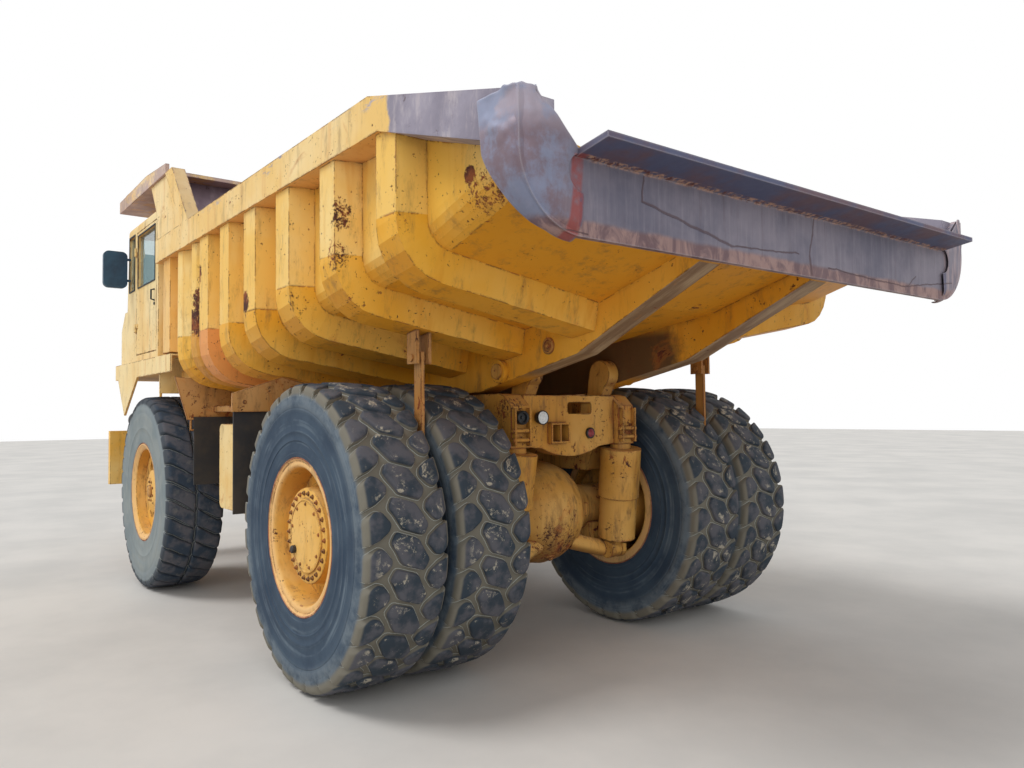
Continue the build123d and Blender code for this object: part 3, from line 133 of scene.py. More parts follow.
class Shader:
    """Short names for building one node material."""

    def __init__(self, name):
        self.material = bpy.data.materials.new(name)
        self.material.use_nodes = True
        self.tree = self.material.node_tree
        self.bsdf = self.tree.nodes["Principled BSDF"]
        self.place = self.node("TexCoord", {}).outputs["Object"]
        self.x, self.y, self.z = self.node("SeparateXYZ", {0: self.place}).outputs
        self.normal = self.node("NewGeometry", {}).outputs["Normal"]
        self.facing_x, self.facing_y, self.facing_z = self.node("SeparateXYZ", {0: self.normal}).outputs

    def node(self, kind, inputs, **settings):
        return add_node(self.tree, kind, inputs, **settings)

    def noise(self, scale, detail=5.0, rough=0.6, stretch=None, warp=0.0):
        place = self.place
        if stretch:
            place = self.node("Mapping", {"Vector": place, "Scale": stretch}).outputs[0]
        inputs = {"Vector": place, "Scale": scale, "Detail": detail, "Roughness": rough, "Distortion": warp}
        return self.node("TexNoise", inputs).outputs[0]

    def band(self, value, low, high):
        """0 at low, 1 at high, smooth between."""
        return self.node("MapRange", {0: value, 1: low, 2: high}, interpolation_type="SMOOTHSTEP").outputs[0]

    def mottle(self, low, high, *scales, **shape):
        """Noise as a band: 0 where it is at low, 1 where it is at high."""
        return self.band(self.noise(*scales, **shape), low, high)

    def maths(self, operation, first, *others):
        """The operation on two or more values, taken in their order, or on one."""
        for other in others or (0.0,):
            first = self.node("Math", {0: first, 1: other}, operation=operation).outputs[0]
        return first

    def times(self, *values):
        return self.maths("MULTIPLY", *values)

    def plus(self, *values):
        return self.maths("ADD", *values)

    def most(self, *values):
        return self.maths("MAXIMUM", *values)

    def mix(self, factor, a, b):
        return self.node("Mix", {0: factor, 6: a, 7: b}, data_type="RGBA").outputs[2]

    def over(self, tone, colour, *masks):
        """A colour laid over a tone where all masks are 1."""
        return self.mix(self.times(*masks), tone, colour)

    def outward(self):
        """Positive on faces that look away from the truck's middle plane."""
        return self.times(self.facing_y, self.maths("SIGN", self.y))

    def side_distance(self):
        """Distance from the truck's middle plane."""
        return self.maths("ABSOLUTE", self.y)

    def within(self, value, low, high, soft=0.006):
        """1 between low and high."""
        rise = self.band(value, low - soft, low + soft)
        return self.times(rise, self.band(value, high + soft, high - soft))

    def corners(self, distance):
        """Towards 1 in inner corners and under ledges, where shade falls."""
        open_share = self.node("AmbientOcclusion", {"Distance": distance}, samples=4).outputs["AO"]
        return self.band(open_share, 0.8, 0.25)

    def joined(self, x=0.0, y=0.0, z=0.0):
        return self.node("CombineXYZ", {0: x, 1: y, 2: z}).outputs[0]

    def vector(self, operation, a, b=(0.0, 0.0, 0.0), scale=1.0):
        outputs = self.node("VectorMath", {0: a, 1: b, 3: scale}, operation=operation).outputs
        return outputs["Value"] if operation in ("DOT_PRODUCT", "LENGTH", "DISTANCE") else outputs[0]

    def near(self, place, radius):
        """1 close to a place, 0 beyond the radius."""
        return self.band(self.vector("DISTANCE", self.place, place), radius, radius * 0.35)

    def line(self, flat, start, end, width):
        """1 along a straight line between two (y, z) places, for a flat position socket."""
        run = Vector((end[0] - start[0], end[1] - start[1], 0.0))
        away = self.vector("SUBTRACT", flat, (start[0], start[1], 0.0))
        share = self.vector("DOT_PRODUCT", away, tuple(run / run.length_squared))
        share = self.node("Math", {0: share, 1: 0.0}, operation="ADD", use_clamp=True).outputs[0]
        rest = self.vector("SUBTRACT", away, self.vector("SCALE", tuple(run), scale=share))
        return self.band(self.vector("LENGTH", rest), width, width * 0.35)

    def edges(self, radius, samples=4):
        """1 near the object's edges, from a rounded normal that differs from the true one."""
        rounded = self.node("Bevel", {"Radius": radius}, samples=samples).outputs[0]
        return self.band(self.vector("DOT_PRODUCT", rounded, self.normal), 0.995, 0.86)

    def bump(self, height, strength, distance, under=None):
        inputs = {"Strength": strength, "Distance": distance, "Height": height}
        if under:
            inputs["Normal"] = under
        return self.node("Bump", inputs).outputs[0]

    def done(self, color, rough, metal=0.0, normal=None, specular=0.5):
        inputs = {"Base Color": color, "Roughness": rough, "Metallic": metal, "Specular IOR Level": specular}
        if normal:
            inputs["Normal"] = normal
        feed(self.tree, self.bsdf, inputs)
        return self.material


# Colours as 0-255 screen values, three tones to a bare steel
GREY_STEEL = ((112, 100, 108), (140, 130, 140), (168, 158, 164))
PALE_STEEL = ((134, 128, 142), (164, 158, 172), (190, 180, 184))
WALL_STEEL = ((126, 108, 116), (148, 130, 138), (164, 146, 150))
CANOPY_STEEL = ((150, 126, 132), (176, 152, 156), (196, 174, 170))
RUST_DARK = (78, 48, 42)
RUST_RED = (146, 82, 50)
RUST_HALO = (196, 124, 58)
GRIME = (122, 90, 58)
# Dirt brown, also used for painted shade in corners and under ledges
CORNER_SHADE_AND_DIRT = (112, 66, 38)
DUST = (196, 172, 136)


def steel_tone(s, low, mid, high):
    """Colour of bare plate, scuffed and stained."""
    tone = s.mix(s.mottle(0.35, 0.62, 1.7, 5.0, 0.6), low, mid)
    tone = s.mix(s.mottle(0.48, 0.7, 6.0, 6.0, 0.7, stretch=(1.0, 1.0, 0.35)), tone, high)
    stain = s.mottle(0.6, 0.7, 9.0, 7.0, 0.75, warp=0.7)
    return s.over(tone, RUST_DARK, stain, 0.6)


def old_paint(name, colour, faded, streak_and_shade, rust, wear=0.6, dirt_and_corner_shade=0.4, dust=0.3,
              marks=(), bare=None, steel=GREY_STEEL, tint=None):
    """Sun-faded paint with rust specks and patches, run-down streaks, worn edges and dust, and painted shade
    on faces that look down.

    marks are rusted spots (place, radius, share); bare(s) tells where the paint is gone from the plate;
    tint(s, tone) recolours the paint before it is aged.
    """
    s = Shader(name)
    tone = s.mix(s.mottle(0.36, 0.66, 1.3, 4.0, 0.55), colour, faded)
    streak = s.mottle(0.52, 0.72, 2.2, 4.0, 0.6, stretch=(5.0, 5.0, 0.55))
    tone = s.over(tone, streak_and_shade, streak, 0.45)
    # Painted shade: faces that look down take the streak colour, darker than the paint
    tone = s.over(tone, streak_and_shade, s.band(s.facing_z, -0.1, -0.7), 0.75)
    if tint:
        tone = tint(s, tone)
    # Dirt that has run down and settled, and painted shade in the corners and under ledges, mottled like dirt
    grime = s.mottle(0.5, 0.72, 3.1, 7.0, 0.75, stretch=(3.0, 3.0, 0.8))
    tone = s.over(tone, GRIME, grime, dirt_and_corner_shade)
    # Painted shade: ambient occlusion darkens corners and the undersides of ledges, broken up by noise
    corner_shade_and_dirt = s.times(s.corners(0.07), s.mottle(0.3, 0.62, 8.0, 5.0, 0.7))
    tone = s.over(tone, CORNER_SHADE_AND_DIRT, corner_shade_and_dirt, 0.25 + 0.45 * dirt_and_corner_shade)
    # Rust: specks, chips and larger patches
    specks = s.mottle(0.675 - 0.03 * rust, 0.71 - 0.03 * rust, 46.0, 3.0, 0.6)
    chips = s.mottle(0.685 - 0.045 * rust, 0.7 - 0.04 * rust, 15.0, 5.0, 0.7, warp=0.6)
    spots = s.times(s.most(specks, chips), s.mottle(0.47, 0.58, 5.5, 5.0, 0.62, warp=0.4))
    ragged = s.noise(2.6, 8.0, 0.72, warp=0.8)
    patches = s.band(ragged, 0.735 - 0.07 * rust, 0.75 - 0.07 * rust)
    worn = s.times(s.edges(0.016), s.mottle(0.62 - 0.18 * wear, 0.7 - 0.18 * wear, 7.0, 6.0, 0.75))
    gone = s.most(spots, patches, worn)
    if marks:
        local = s.most(*(s.times(s.near(place, radius * 1.5), share) for place, radius, share in marks))
        grit = s.noise(42.0, 7.0, 0.8, warp=0.3)
        gone = s.most(gone, s.band(s.plus(s.times(local, 0.4), grit), 0.8, 0.83))
    halo = s.band(ragged, 0.66 - 0.07 * rust, 0.75 - 0.07 * rust)
    tone = s.over(tone, RUST_HALO, halo, 0.45)
    tone = s.mix(gone, tone, s.mix(s.mottle(0.42, 0.62, 9.0, 4.0), RUST_DARK, RUST_RED))
    metal = 0.0
    if bare:
        plate = bare(s)
        tone = s.mix(plate, tone, steel_tone(s, *steel))
        metal = s.times(plate, 0.35)
    settled = s.times(s.band(s.facing_z, 0.35, 0.95), dust)
    tone = s.over(tone, DUST, settled, s.mottle(0.3, 0.7, 4.0, 5.0))
    rough = s.plus(0.5, s.times(s.most(gone, settled), 0.35))
    grain = s.bump(s.noise(30.0, 5.0, 0.65), 0.12, 0.004)
    return s.done(tone, rough, metal, s.bump(s.times(gone, -1.0), 0.5, 0.003, grain), 0.22)


# Lines on the tail band as (y, z) places with a width: a cracked weld, seams and a scratch
BAND_LINES = (
    ((1.175, 2.585), (1.19, 2.481), 0.007), ((1.19, 2.481), (0.59, 2.366), 0.008),
    ((0.59, 2.366), (0.04, 2.392), 0.005), ((-0.108, 2.6), (-0.06, 2.391), 0.008),
    ((-0.06, 2.391), (-0.075, 2.3), 0.012), ((-1.111, 2.345), (-1.202, 2.4), 0.005),
    ((-0.231, 2.35), (-1.028, 2.325), 0.005), ((-1.028, 2.325), (-1.64, 2.4), 0.005),
    ((1.64, 2.3), (1.5, 2.3), 0.004),
)
BAND_FACE = (-3.862, -3.85)  # X over which the band's own face gives way to what lies before it


def band_steel(name):
    """Tail band: drawn streaks, a browner foot, a darker lip, a welded line, cracks and a primer stripe."""
    s = Shader(name)
    tone = s.mix(s.mottle(0.36, 0.62, 1.9, 5.0, 0.6), (104, 102, 118), (132, 126, 138))
    drawn = s.noise(3.0, 6.0, 0.75, stretch=(7.0, 12.0, 0.7))
    tone = s.over(tone, (152, 144, 152), s.band(drawn, 0.46, 0.7), 0.4)
    tone = s.over(tone, (96, 80, 88), s.band(drawn, 0.44, 0.3), 0.4)
    # Towards the left corner the plate is bluer and paler, with brown scorch
    left = s.band(s.y, 1.45, 1.72)
    scorched = s.mix(s.mottle(0.4, 0.6, 4.2, 6.0, 0.7), (134, 142, 168), (122, 98, 106))
    tone = s.over(tone, scorched, left, 0.7)
    high = s.times(s.band(s.z, 2.62, 2.76), 0.75)
    paler = s.mix(s.mottle(0.42, 0.58, 7.0, 5.0), (150, 160, 186), (176, 166, 178))
    tone = s.over(tone, paler, high, left)
    # The bent foot of the band
    foot = s.band(s.plus(s.z, s.times(s.noise(5.0, 4.0), 0.03)), 2.375, 2.35)
    smear = s.mottle(0.42, 0.6, 9.0, 5.0, 0.7, stretch=(1.0, 1.0, 0.5), warp=0.6)
    tone = s.over(tone, s.mix(smear, (112, 82, 82), (166, 132, 122)), foot, 0.8)
    # The lip behind the band
    lip = s.times(s.band(s.x, -3.826, -3.832), s.band(s.side_distance(), 1.565, 1.555))
    tone = s.mix(lip, tone, s.mix(s.mottle(0.42, 0.62, 2.6, 5.0, 0.65), (84, 88, 116), (104, 82, 92)))
    # Welded line at the lip's root, speckled with old primer
    root = s.times(s.band(s.x, *BAND_FACE), s.band(s.side_distance(), 1.56, 1.54))
    weld = s.times(s.within(s.z, 2.59, 2.612), root)
    tone = s.over(tone, (190, 150, 126), weld, s.mottle(0.47, 0.56, 30.0, 5.0, 0.75))
    tone = s.over(tone, (104, 60, 54), weld, s.mottle(0.48, 0.4, 22.0, 5.0, 0.75))
    # Primer stripe beside the left corner
    lean = s.times(s.maths("SUBTRACT", 2.58, s.z), 0.12)
    stripe = s.within(s.maths("SUBTRACT", s.y, lean), 1.518, 1.58, 0.008)
    stripe = s.times(stripe, s.mottle(0.25, 0.5, 8.0, 5.0, 0.7), s.band(s.z, 2.606, 2.598))
    stripe = s.times(stripe, s.band(s.x, *BAND_FACE))
    tone = s.over(tone, (150, 72, 68), stripe, 0.85)
    # Right end: pale folds
    folds = s.times(s.mottle(0.45, 0.6, 5.0, 3.0, 0.6, stretch=(2.0, 7.0, 0.5)), 0.7)
    tone = s.over(tone, (184, 160, 160), s.band(s.y, -1.5, -1.66), folds)
    wander = s.times(s.maths("SUBTRACT", s.noise(11.0, 4.0), 0.5), 0.025)
    flat = s.joined(s.plus(s.y, wander), s.plus(s.z, wander))
    cracks = s.most(*(s.line(flat, *crack) for crack in BAND_LINES))
    cracks = s.times(cracks, s.band(s.x, -3.812, -3.818))
    tone = s.over(tone, (84, 62, 66), cracks, 0.7)
    tone = s.over(tone, (172, 166, 172), s.edges(0.012), 0.5)
    rough = s.plus(0.4, s.times(s.noise(14.0, 4.0), 0.35))
    dents = s.bump(s.noise(4.0, 3.0), 0.35, 0.02, s.bump(s.noise(24.0, 6.0, 0.7), 0.2, 0.004))
    return s.done(tone, rough, 0.3, s.bump(s.times(cracks, -1.0), 0.6, 0.006, dents))


def tyre_rubber(name, wall, second, tread, dusty):
    """Rubber whose colour comes from how far it lies from the wheel's axis, with dust in the grooves."""
    s = Shader(name)
    distance = s.vector("LENGTH", s.joined(s.x, 0.0, s.z))
    base = s.mix(s.mottle(0.35, 0.65, 3.4, 5.0, 0.6), wall, second)
    ring = s.joined(s.times(distance, 26.0), s.times(s.noise(1.4, 3.0), 2.0))
    scuffs = s.node("TexNoise", {"Vector": ring, "Scale": 1.4, "Detail": 6.0}).outputs[0]
    rubbed = s.times(s.band(scuffs, 0.52, 0.66), s.mottle(0.35, 0.65, 4.0, 4.0))
    base = s.over(base, (132, 146, 156), rubbed, 0.35)
    shoulder = s.times(s.band(distance, 0.715, 0.775), s.mottle(0.3, 0.6, 5.0, 6.0, 0.7))
    base = s.over(base, (126, 136, 142), shoulder, 0.55)
    # Dusty grooves under darker lug tops, with dried mud on some
    base = s.mix(s.band(distance, 0.81, 0.84), base, s.mix(dusty, tread, (122, 117, 104)))
    top_tone = s.mix(s.mottle(0.4, 0.6, 7.0, 4.0, 0.6), tread, (86, 86, 92))
    base = s.mix(s.band(distance, 0.872, 0.882), base, top_tone)
    mud = s.times(s.mottle(0.55, 0.61, 8.0, 8.0, 0.8, warp=0.4), dusty)
    base = s.over(base, (176, 168, 150), mud, s.band(distance, 0.886, 0.892))
    chalk = s.times(s.edges(0.007, 6), s.band(distance, 0.8, 0.83))
    base = s.over(base, (186, 190, 184), chalk, 0.85)
    normal = s.bump(s.noise(60.0, 4.0, 0.7), 0.25, 0.002, s.bump(s.noise(9.0, 5.0), 0.15, 0.006))
    return s.done(base, 0.78, 0.0, normal, 0.3)


def plain(name, colour, second, scale=8.0, rough=0.6, metal=0.0, bump=0.2):
    """Two-tone mottled surface for small or hidden pieces."""
    s = Shader(name)
    tone = s.mix(s.mottle(0.35, 0.65, scale, 6.0, 0.65), colour, second)
    normal = s.bump(s.noise(scale * 5, 5.0, 0.7), bump, 0.003)
    return s.done(tone, s.plus(rough - 0.1, s.times(s.noise(scale * 2), 0.2)), metal, normal)


def clear_glass(name, tint):
    s = Shader(name)
    s.bsdf.inputs["Transmission Weight"].default_value = 0.92
    s.bsdf.inputs["IOR"].default_value = 1.45
    return s.done(tint, s.plus(0.03, s.times(s.mottle(0.45, 0.9, 5.0, 6.0, 0.7), 0.2)))


# Rusted spots: place, radius and share
RIB_MARKS = (
    ((-3.06, 1.82, 2.22), 0.2, 0.8), ((-2.86, 1.82, 2.48), 0.1, 0.55), ((-2.23, 1.82, 2.44), 0.1, 0.75),
    ((-2.25, 1.82, 2.05), 0.22, 0.9), ((-2.3, 1.82, 2.66), 0.13, 0.85), ((-1.81, 1.82, 2.37), 0.09, 1.0),
    ((-1.73, 1.82, 2.25), 0.2, 0.62), ((-1.24, 1.82, 2.3), 0.3, 0.5), ((-0.89, 1.82, 2.35), 0.08, 1.0),
    ((0.14, 1.82, 2.68), 0.1, 1.0), ((0.19, 1.82, 2.5), 0.12, 0.95), ((0.22, 1.82, 2.34), 0.14, 1.0),
    ((-2.54, 1.0, 2.2), 0.13, 1.0), ((-2.79, 0.85, 2.22), 0.1, 1.0),
)
SIDE_MARKS = (
    ((-3.37, 1.67, 2.5), 0.2, 0.72), ((-3.48, 1.66, 2.44), 0.16, 0.9), ((-3.28, 1.66, 2.38), 0.3, 0.52),
    ((-3.4, 1.62, 2.32), 0.16, 0.62), ((-3.2, 1.66, 2.6), 0.22, 0.42), ((-3.26, 1.67, 2.64), 0.05, 1.0),
    ((-3.56, 1.67, 2.57), 0.05, 0.9), ((-2.6, 1.67, 2.3), 0.2, 0.5),
)
FRAME_MARKS = (
    ((-1.97, 0.06, 0.68), 0.24, 0.72), ((-1.97, -0.62, 0.86), 0.15, 0.8), ((-1.98, 0.58, 1.02), 0.14, 0.85),
    ((-2.02, 0.5, 1.62), 0.12, 0.75), ((-1.9, 0.2, 1.0), 0.2, 0.5), ((-2.05, -0.5, 1.48), 0.1, 0.85),
    ((-2.05, -0.2, 1.36), 0.16, 0.55),
)


def inner_faces(s):
    """The bed's inside: faces that look up or towards the middle."""
    return s.most(s.band(s.outward(), -0.25, -0.45), s.band(s.facing_z, 0.25, 0.45))


def tail_end_of_rail(s):
    """Paint gone from the rail's tail, up to a ragged line, and rubbed off along its upper edge."""
    ragged = s.times(s.maths("SUBTRACT", s.noise(7.0, 5.0, 0.7), 0.5), 0.12)
    tail = s.band(s.plus(s.x, ragged), -2.835, -2.865)
    rubbed = s.mottle(0.56, 0.66, 5.0, 6.0, 0.75, stretch=(0.7, 3.0, 3.0))
    height = s.plus(s.z, s.times(s.noise(4.0, 5.0, 0.7), 0.16))
    edge = s.times(s.band(height, 3.16, 3.2), s.band(s.x, 0.2, -0.6))
    top = s.times(s.band(s.facing_z, 0.5, 0.9), 0.8)
    return s.most(tail, s.times(edge, rubbed), s.most(top, s.band(s.outward(), -0.5, -0.8)))


def rim_rings(s, tone):
    """A rust-pink lip ring round a dusty cream flange, about the axle that is nearer."""
    axle = s.plus(s.times(s.maths("GREATER_THAN", s.x, 0.0), WHEELBASE), REAR_AXLE)
    flat = s.joined(s.maths("SUBTRACT", s.x, axle), 0.0, s.maths("SUBTRACT", s.z, AXLE_Z))
    radius = s.vector("LENGTH", flat)
    tone = s.over(tone, (232, 188, 132), s.band(radius, 0.392, 0.415), 0.7)
    lip = s.times(s.band(radius, 0.446, 0.455), s.mottle(0.25, 0.5, 9.0, 4.0))
    return s.over(tone, (168, 106, 88), lip, 0.85)


def wall_inside(s):
    """The front wall's face towards the load."""
    return s.times(s.band(s.facing_x, -0.3, -0.55), s.band(s.side_distance(), 1.665, 1.65))


def canopy_scoured(s):
    """Paint rubbed thin over the canopy."""
    return s.times(s.mottle(0.44, 0.56, 2.4, 7.0, 0.75, warp=0.5), 0.75)


def third_rib(s, tone):
    """The replaced lower part of the third rib is a pinker orange, the second column browner."""
    tone = s.over(tone, (226, 148, 84), s.within(s.x, -0.145, 0.128), 0.85)
    return s.over(tone, (190, 132, 84), s.within(s.x, 0.15, 0.45), 0.45)


def rail_shade_and_wear(s, tone):
    """Painted shade, near black, on the right rail's inner face under the bed, and the rails' lower faces
    rubbed bare towards the tail.
    """
    ragged = s.plus(s.x, s.times(s.noise(2.2, 6.0, 0.7), 0.9))
    # Painted shade: the right rail's inner face under the bed, near the tail, goes near black
    inner = s.times(s.band(s.facing_y, 0.3, 0.7), s.band(s.y, -0.2, -0.35))
    inner_shade = s.times(inner, s.band(ragged, -2.3, -2.1), s.band(s.z, 2.18, 2.1))
    tone = s.over(tone, (46, 46, 54), inner_shade, 0.85)
    below = s.times(s.band(s.facing_z, -0.6, -0.85), s.band(s.x, -2.1, -2.35))
    plate = s.mottle(0.4, 0.62, 5.0, 5.0, 0.7, stretch=(0.3, 3.0, 0.3))
    return s.over(tone, s.mix(plate, (96, 84, 78), (158, 142, 120)), below, 0.8)


AMBER = old_paint("amber", (236, 178, 68), (244, 206, 128), (218, 150, 44), 0.8, 0.8, 0.5)
UNDER = old_paint("under_orange", (226, 158, 40), (236, 176, 66), (206, 136, 32), 0.9, 0.8, 0.7,
                  tint=rail_shade_and_wear)
CREAM = old_paint("cream", (234, 194, 118), (242, 216, 158), (220, 158, 80), 0.7, 0.9, 0.45, 0.5)
FRAME = old_paint("frame_paint", (200, 144, 60), (214, 168, 94), (128, 84, 38), 1.6, 1.1, 1.0,
                  marks=FRAME_MARKS)
RIM = old_paint("rim_paint", (226, 170, 70), (236, 190, 112), (190, 128, 44), 1.1, 1.0, 0.8,
                tint=rim_rings)
NUT = old_paint("wheel_nuts", (190, 138, 64), (206, 158, 92), (112, 74, 42), 2.0, 1.6, 0.9)
RUSTY = old_paint("rusty_plate", (190, 136, 72), (206, 160, 104), (120, 78, 46), 2.0, 1.2, 0.9)
BED_SIDE = old_paint("side_paint", (238, 184, 76), (246, 210, 132), (226, 158, 44), 0.8, 0.8, 0.5,
                     marks=SIDE_MARKS, bare=inner_faces)
UPPER = old_paint("upper_rib_paint", (242, 194, 96), (247, 216, 146), (228, 164, 62),
                  0.8, 0.9, 0.5, marks=RIB_MARKS)
LOWER = old_paint("lower_rib_paint", (234, 170, 46), (242, 190, 86), (214, 142, 34),
                  0.9, 0.8, 0.6, marks=RIB_MARKS, tint=third_rib)
BED_UNDER = old_paint("floor_paint", (230, 164, 42), (238, 178, 64), (214, 142, 34),
                      0.8, 0.6, 0.6, marks=RIB_MARKS, bare=inner_faces)
RAILS = old_paint("rail_paint", (238, 196, 116), (246, 218, 160), (218, 156, 84), 0.9, 1.0, 0.5,
                  bare=tail_end_of_rail, steel=PALE_STEEL)
WALL = old_paint("wall_paint", (234, 176, 84), (240, 196, 122), (212, 134, 66), 0.5, 0.8,
                 bare=wall_inside, steel=WALL_STEEL)
CANOPY = old_paint("canopy_paint", (236, 194, 122), (240, 210, 160), (198, 140, 86), 0.9, 1.0,
                   bare=canopy_scoured, steel=CANOPY_STEEL)
BAND = band_steel("band_steel")
IRON = plain("oily_iron", (58, 50, 44), (30, 27, 25), 6.0)
CHROME = plain("polished_rod", (176, 176, 172), (140, 140, 138), 4.0, 0.28, 0.9, 0.05)
REAR_RUBBER = tyre_rubber("rear_rubber", (46, 62, 80), (62, 78, 94), (48, 58, 68), 0.9)
FRONT_RUBBER = tyre_rubber("front_rubber", (122, 132, 134), (140, 146, 144), (48, 60, 74), 0.15)
FLAP = plain("flap_rubber", (40, 40, 42), (66, 58, 50), 3.0, 0.7)
PLASTIC = plain("black_plastic", (34, 36, 40), (24, 26, 30), 20.0, 0.45, 0.0, 0.1)
CLOTH = plain("seat_cloth", (46, 46, 50), (34, 34, 38), 120.0, 0.85, 0.0, 0.5)
PANE = clear_glass("pane", (206, 224, 224))
LENS = plain("lens", (236, 240, 240), (206, 214, 214), 60.0, 0.22, 0.0, 0.4)
RED_LENS = plain("red_lens", (150, 40, 48), (112, 30, 40), 40.0, 0.3, 0.0, 0.3)
MIRROR = plain("mirror_shell", (40, 76, 100), (30, 56, 78), 5.0, 0.5, 0.0, 0.1)
GASKET = plain("gasket", (30, 42, 56), (22, 30, 40), 12.0, 0.7)

PAINTED = (
    (FRAME, "chassis_frame axle_housing suspension_cylinders front_struts hoist_barrels"),
    (FRAME, "knuckle_left knuckle_right"),
    (IRON, "engine_block gearbox_shaft tie_rod"),
    (BED_UNDER, "bed_floor"),
    (BED_SIDE, "bed_sides"),
    (UPPER, "upper_ribs"),
    (LOWER, "lower_ribs"),
    (RAILS, "rim_rails"),
    (WALL, "front_wall"),
    (CANOPY, "canopy"),
    (UNDER, "bed_rails"),
    (BAND, "tail_band"),
    (RUSTY, "rock_bars mud_plates"),
    (CHROME, "hoist_stages hoist_rods"),
    (CREAM, "left_deck right_deck hydraulic_tank fuel_tank cab_shell cab_door air_cleaner bonnet"),
    (FLAP, "mud_flaps"),
    (PANE, "door_glass cab_glass"),
    (CLOTH, "driver_seat"),
    (PLASTIC, "steering_column"),
    (AMBER, "radiator_grille front_bumper ladders"),
    (LENS, "lamps"),
    (MIRROR, "mirrors"),
    (RIM, "front_rim_left front_rim_right rear_rims_left rear_rims_right"),
    (FRONT_RUBBER, "front_tyre_left front_tyre_right"),
    (REAR_RUBBER, "rear_tyres_left rear_tyres_right"),
)
for paint, names in PAINTED:
    for node_name in names.split():
        materials = nodes[node_name].data.materials
        materials.clear()
        materials.append(paint)


def smooth_mesh(name, verts, faces):
    mesh = bpy.data.meshes.new(name)
    mesh.from_pydata(verts, [], faces)
    for polygon in mesh.polygons:
        polygon.use_smooth = True
    return mesh


def add_piece(name, mesh, material, body, location=(0, 0, 0), rotation=(0, 0, 0)):
    obj = bpy.data.objects.new(name, mesh)
    scene.collection.objects.link(obj)
    obj.location = location
    obj.rotation_euler = rotation
    if not mesh.materials:
        mesh.materials.append(material)
    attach(obj, body)
    return obj


# ---------------------------------------------------------------- floor

FLOOR_REACH = 60
floor_mesh = bpy.data.meshes.new("floor")
floor_corners = [(FLOOR_REACH * x, FLOOR_REACH * y, 0) for x, y in ((-1, -1), (1, -1), (1, 1), (-1, 1))]
floor_mesh.from_pydata(floor_corners, [], [(0, 1, 2, 3)])
floor = bpy.data.objects.new("floor", floor_mesh)
scene.collection.objects.link(floor)
ground = Shader("pale_ground")
ground_tone = ground.mix(ground.mottle(0.3, 0.7, 0.6, 6.0, 0.6), (214, 210, 204), (200, 197, 192))
floor_mesh.materials.append(ground.done(ground_tone, 0.9, specular=0.2))


# ---------------------------------------------------------------- tyres

REAR_INNER_Y = 0.972
REAR_OUTER_Y = 1.538
FRONT_Y = 1.53
TREAD_BASE = 0.866
CROWN_DROP = 0.012
SHOULDER_AT = 0.185
SHOULDER_R = 0.06
SHOULDER_TURN = math.radians(80)
WALL_OUT, WALL_DOWN = 0.17, 0.985  # how the side wall runs on below the shoulder
TOP_R = 0.8995
TOP_CROWN = 0.01
TOP_FLAT = 0.2
TOP_EDGE = 0.062
PITCH_R = 0.9  # radius at which lengths along the tread become angles
CARCASS_STEPS = 120
CARCASS_PLACES = (0, 0.05, 0.1, 0.15, 0.185, 0.2, 0.215, 0.23, 0.245, 0.26, 0.28, 0.31)
LUG_RINGS = ((-0.013, -0.1), (-0.006, 0.8), (-0.002, 0.93), (0.005, 1.0))  # (inwards, share of height)
LUG_CUTS = [(0, s * c) for s in (1, -1) for c in (0.05, 0.1, 0.15, 0.2, 0.215, 0.23, 0.245)]
LUG_CUTS += [(1, 0.0), (1, -0.04), (1, 0.04)]


def tread_place(u, height):
    """(y, radius) of a place u across the tread from its middle, that high over the grooves."""
    side = 1 if u >= 0 else -1
    u = abs(u)
    if u <= SHOULDER_AT:
        turn, y, r = 0.0, u, TREAD_BASE - CROWN_DROP * (u / SHOULDER_AT) ** 2
    else:
        turn = min((u - SHOULDER_AT) / SHOULDER_R, SHOULDER_TURN)
        y = SHOULDER_AT + SHOULDER_R * math.sin(turn)
        r = TREAD_BASE - CROWN_DROP - SHOULDER_R * (1 - math.cos(turn))
        rest = u - SHOULDER_AT - turn * SHOULDER_R
        if rest > 0:
            y += WALL_OUT * rest
            r -= WALL_DOWN * rest
    return side * (y + height * math.sin(turn)), r + height * math.cos(turn)


def top_place(u):
    """(y, radius) of a new lug's top, nearly flat across, with a crisp edge at the shoulder."""
    side = 1 if u >= 0 else -1
    u = abs(u)
    if u <= TOP_FLAT:
        return side * u, TOP_R - TOP_CROWN * (u / TOP_FLAT) ** 2
    t = (u - TOP_FLAT) / TOP_EDGE
    return side * (TOP_FLAT + 0.04 * t), TOP_R - TOP_CROWN - 0.004 * t - 0.02 * t * t


def corners_of(outline):
    """Each corner of a closed outline, between the one before and the one after."""
    count = len(outline)
    for i in range(count):
        yield tuple(Vector(outline[(i + k) % count]) for k in (-1, 0, 1))


def shifted(outline, distance):
    """Outline moved inwards by a distance along its corners' bisectors."""
    moved = []
    for before, here, after in corners_of(outline):
        first, second = (here - before).normalized(), (after - here).normalized()
        n1, n2 = Vector((-first.y, first.x)), Vector((-second.y, second.x))
        moved.append(tuple(here + (n1 + n2) * distance / max(0.35, 1 + n1.dot(n2))))
    return moved


def softened(outline, cut=0.013):
    """Outline with each corner cut off in two steps."""
    places = []
    for before, here, after in corners_of(outline):
        a = here + (before - here).normalized() * min(cut, 0.4 * (before - here).length)
        b = here + (after - here).normalized() * min(cut, 0.4 * (after - here).length)
        places += [tuple(a), tuple((a + b) / 4 + here / 2), tuple(b)]
    return places


def half_turned(outline):
    return [(-u, -v) for u, v in outline]


